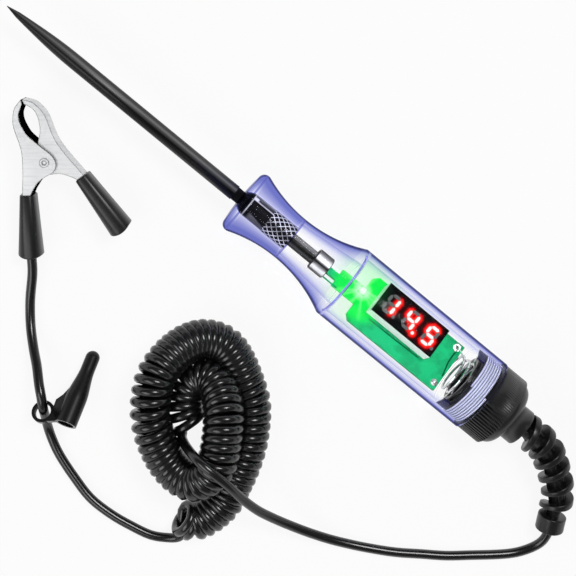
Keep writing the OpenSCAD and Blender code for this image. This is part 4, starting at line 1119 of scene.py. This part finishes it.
def coil_line(sizes, per_turn=16):
    """The cord's centre line round the curly stretch, from its open end to its inner end."""
    step = 0.4 * MM
    centre = even_steps(spline_between(in_metres(COIL), 10), step)
    ways = frames_along(centre, Vector((0, 0, 1)))
    total = len(centre) - 1
    turn = [START_TURN]
    for i in range(total):
        turn.append(turn[-1] + step / (value_at(COIL_PITCH, i / total) * MM))
    line = []
    count = math.ceil((turn[-1] - turn[0]) * per_turn)
    k = 0
    for n in range(count + 1):
        want = turn[0] + (turn[-1] - turn[0]) * n / count
        while k < total - 1 and turn[k + 1] < want:
            k += 1
        share = (want - turn[k]) / (turn[k + 1] - turn[k])
        wide = min((k + share) / total / COIL_WIDENING, 1)
        radius = (sizes.coil_end_d + (sizes.coil_d - sizes.coil_end_d) * wide - sizes.cord_d) / 2
        heading, side = ways[k]
        other = heading.cross(side)
        angle = want * math.tau
        middle = centre[k].lerp(centre[k + 1], share)
        line.append(middle + radius * (math.cos(angle) * side + math.sin(angle) * other))
    return line


def eased(line, joints, reach=3, rounds=3):
    """The line with its kinks smoothed round the places where stretches meet."""
    line = [p.copy() for p in line]
    for _ in range(rounds):
        for joint in joints:
            for i in range(joint - reach, joint + reach):
                line[i] = line[i] / 2 + (line[i - 1] + line[i + 1]) / 4
    return line


def add_cord(sizes, colours):
    """The whole cord in one line: strain relief, curly stretch and clip."""
    arm = on_arm(1, CORD_ARM_ANGLE)
    boot_end = arm @ Vector((sizes.cord_boot_len, 0, 0))
    before_boot = arm @ Vector((sizes.cord_boot_len + 5 * MM, 0, 0))
    to_coil = spline_between(in_metres(TO_COIL), 4)
    to_clip = spline_between(in_metres(TO_CLIP) + [before_boot, boot_end], 4)
    coil = coil_line(sizes)[::-1]
    line = eased(to_coil + coil + to_clip, (len(to_coil), len(to_coil) + len(coil)))
    cord = add_wire(
        "cord", line, sizes.cord_d, cord_jacket(colours), ["cord_to_coil", "cord_coil", "cord_to_clip"]
    )


class TESTLIGHT_OT_cord(bpy.types.Operator):
    """Adds the cord"""

    bl_idname = "test_light.add_cord"
    bl_label = "Add Cord"

    def execute(self, context):
        add_cord(context.scene.test_light_sizes, context.scene.test_light_colours)
        return {"FINISHED"}


class TESTLIGHT_OT_finishes(bpy.types.Operator):
    """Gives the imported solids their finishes"""

    bl_idname = "test_light.add_finishes"
    bl_label = "Add Finishes"

    def execute(self, context):
        dress_solids(context.scene.test_light_colours)
        return {"FINISHED"}


# Camera and stage


def camera_place():
    """The camera as a matrix, from where the probe's point and the camera's foot fall in the photograph."""
    focal = 1372
    height = 417 * MM
    along = math.radians(39.3)
    foot_pixel = Vector((220, 180))
    tip_pixel = Vector((7, 6))
    centre = Vector((PHOTO_SIDE / 2, PHOTO_SIDE / 2))

    def ray(pixel):
        return Vector((pixel.x - centre.x, centre.y - pixel.y, -focal)).normalized()

    right = Vector((-math.cos(along), -math.sin(along), 0))
    up = Vector((math.sin(along), -math.cos(along), 0))
    level = Matrix((right, up, Vector((0, 0, 1)))).transposed()
    turn = ray(foot_pixel).rotation_difference(Vector((0, 0, -1))).to_matrix()
    look = level @ turn
    to_tip = look @ ray(tip_pixel)
    tip = Vector((TIP_X, 0, AXIS_Z))
    place = tip - to_tip * ((height - AXIS_Z) / -to_tip.z)
    return Matrix.Translation(place) @ look.to_4x4(), focal


def add_camera():
    """The photograph's view."""
    place, focal = camera_place()
    data = bpy.data.cameras.new("photo_camera")
    data.sensor_width = 36
    data.lens = focal / PHOTO_SIDE * data.sensor_width
    data.clip_start = 0.01
    camera = link_new("photo_camera", data)
    camera.matrix_world = place
    bpy.context.scene.camera = camera


def add_light(name, place, size, power):
    """A soft light at place, facing the middle of the part."""
    data = bpy.data.lights.new(name, "AREA")
    data.shape = "RECTANGLE"
    data.size, data.size_y = size
    data.energy = power
    light = link_new(name, data)
    light.location = place
    light.rotation_euler = (PART_MIDDLE - Vector(place)).to_track_quat("-Z", "Y").to_euler()


def add_world():
    """A dim even room, so that the lamps' shapes show in the shine."""
    world = bpy.data.worlds.new("studio_room")
    world.use_nodes = True
    tree = world.node_tree
    tree.nodes["Background"].inputs["Strength"].default_value = 0.18
    tree.nodes["Background"].inputs["Color"].default_value = (1, 1, 1, 1)
    bpy.context.scene.world = world


def backdrop_material():
    """White paper: the camera, glass and shine see it white, and it keeps the object's shadow."""
    material, tree, shader = finish("white_paper", specular=0.1)
    shader.inputs["Base Color"].default_value = (0.9, 0.9, 0.9, 1)
    shader.inputs["Roughness"].default_value = 0.9
    path = node_in(tree, "ShaderNodeLightPath").outputs
    seen = maths(tree, "MAXIMUM", path["Is Camera Ray"], path["Is Transmission Ray"])
    seen = maths(tree, "MAXIMUM", seen, path["Is Glossy Ray"])
    glow = node_in(tree, "ShaderNodeEmission", {"Strength": 1.0}).outputs[0]
    mixed = node_in(tree, "ShaderNodeMixShader", {0: times(tree, seen, 0.9), 1: shader.outputs[0], 2: glow}).outputs[0]
    tree.links.new(mixed, tree.nodes["Material Output"].inputs["Surface"])
    return material


def add_backdrop():
    """A round sheet of white paper that curves up far behind the object."""
    flat, rise, steps = 1.6, 0.9, 12
    angles = [math.pi / 2 * k / steps for k in range(1, steps + 1)]
    line = [(0, 0), (flat, 0)] + [(flat + rise * math.sin(a), rise * (1 - math.cos(a))) for a in angles]
    bm = bmesh.new()
    verts = [bm.verts.new((r, 0, z)) for r, z in line]
    edges = [bm.edges.new((a, b)) for a, b in zip(verts, verts[1:])]
    spin(bm, verts + edges, math.tau, 64, axis=(0, 0, 1))
    bmesh.ops.remove_doubles(bm, verts=bm.verts, dist=0.001)
    bmesh.ops.recalc_face_normals(bm, faces=bm.faces)
    mesh = bpy.data.meshes.new("backdrop")
    bm.to_mesh(mesh)
    bm.free()
    mesh.shade_smooth()
    mesh.materials.append(backdrop_material())
    link_new("backdrop", mesh)


def add_stage():
    """The backdrop, the lights and the view settings."""
    add_backdrop()
    add_world()
    add_light("key", (-0.05, -0.24, 0.58), (0.2, 0.2), 1.85)
    add_light("fill", (0.1, 0.42, 0.45), (0.5, 0.3), 1.3)
    bpy.context.scene.view_settings.view_transform = "Standard"


class TESTLIGHT_OT_stage(bpy.types.Operator):
    """Adds the floor, the lights and the camera"""

    bl_idname = "test_light.add_stage"
    bl_label = "Add Stage"

    def execute(self, context):
        add_stage()
        add_camera()
        return {"FINISHED"}


class TESTLIGHT_PT_panel(bpy.types.Panel):
    """Lists the steps that build the test light."""

    bl_label = "Test Light"
    bl_idname = "TESTLIGHT_PT_panel"
    bl_space_type = "VIEW_3D"
    bl_region_type = "UI"
    bl_category = "Test Light"

    def draw(self, context):
        for operator in OPERATORS:
            self.layout.operator(operator.bl_idname)


OPERATORS = (
    TESTLIGHT_OT_finishes, TESTLIGHT_OT_smooth_parts, TESTLIGHT_OT_display, TESTLIGHT_OT_thread,
    TESTLIGHT_OT_inner_detail, TESTLIGHT_OT_relief, TESTLIGHT_OT_boots, TESTLIGHT_OT_cord, TESTLIGHT_OT_stage,
)
CLASSES = (TestLightSizes, TestLightColours, *OPERATORS, TESTLIGHT_PT_panel)


def register():
    for cls in CLASSES:
        bpy.utils.register_class(cls)
    bpy.types.Scene.test_light_sizes = PointerProperty(type=TestLightSizes)
    bpy.types.Scene.test_light_colours = PointerProperty(type=TestLightColours)


def unregister():
    del bpy.types.Scene.test_light_colours
    del bpy.types.Scene.test_light_sizes
    for cls in reversed(CLASSES):
        bpy.utils.unregister_class(cls)


def main():
    """Builds every piece in order."""
    register()
    bpy.ops.test_light.add_finishes()
    bpy.ops.test_light.add_smooth_parts()
    bpy.ops.test_light.add_display()
    bpy.ops.test_light.add_thread()
    bpy.ops.test_light.add_inner_detail()
    bpy.ops.test_light.add_relief()
    bpy.ops.test_light.add_boots()
    bpy.ops.test_light.add_cord()
    bpy.ops.test_light.add_stage()


if __name__ == "__main__":
    main()
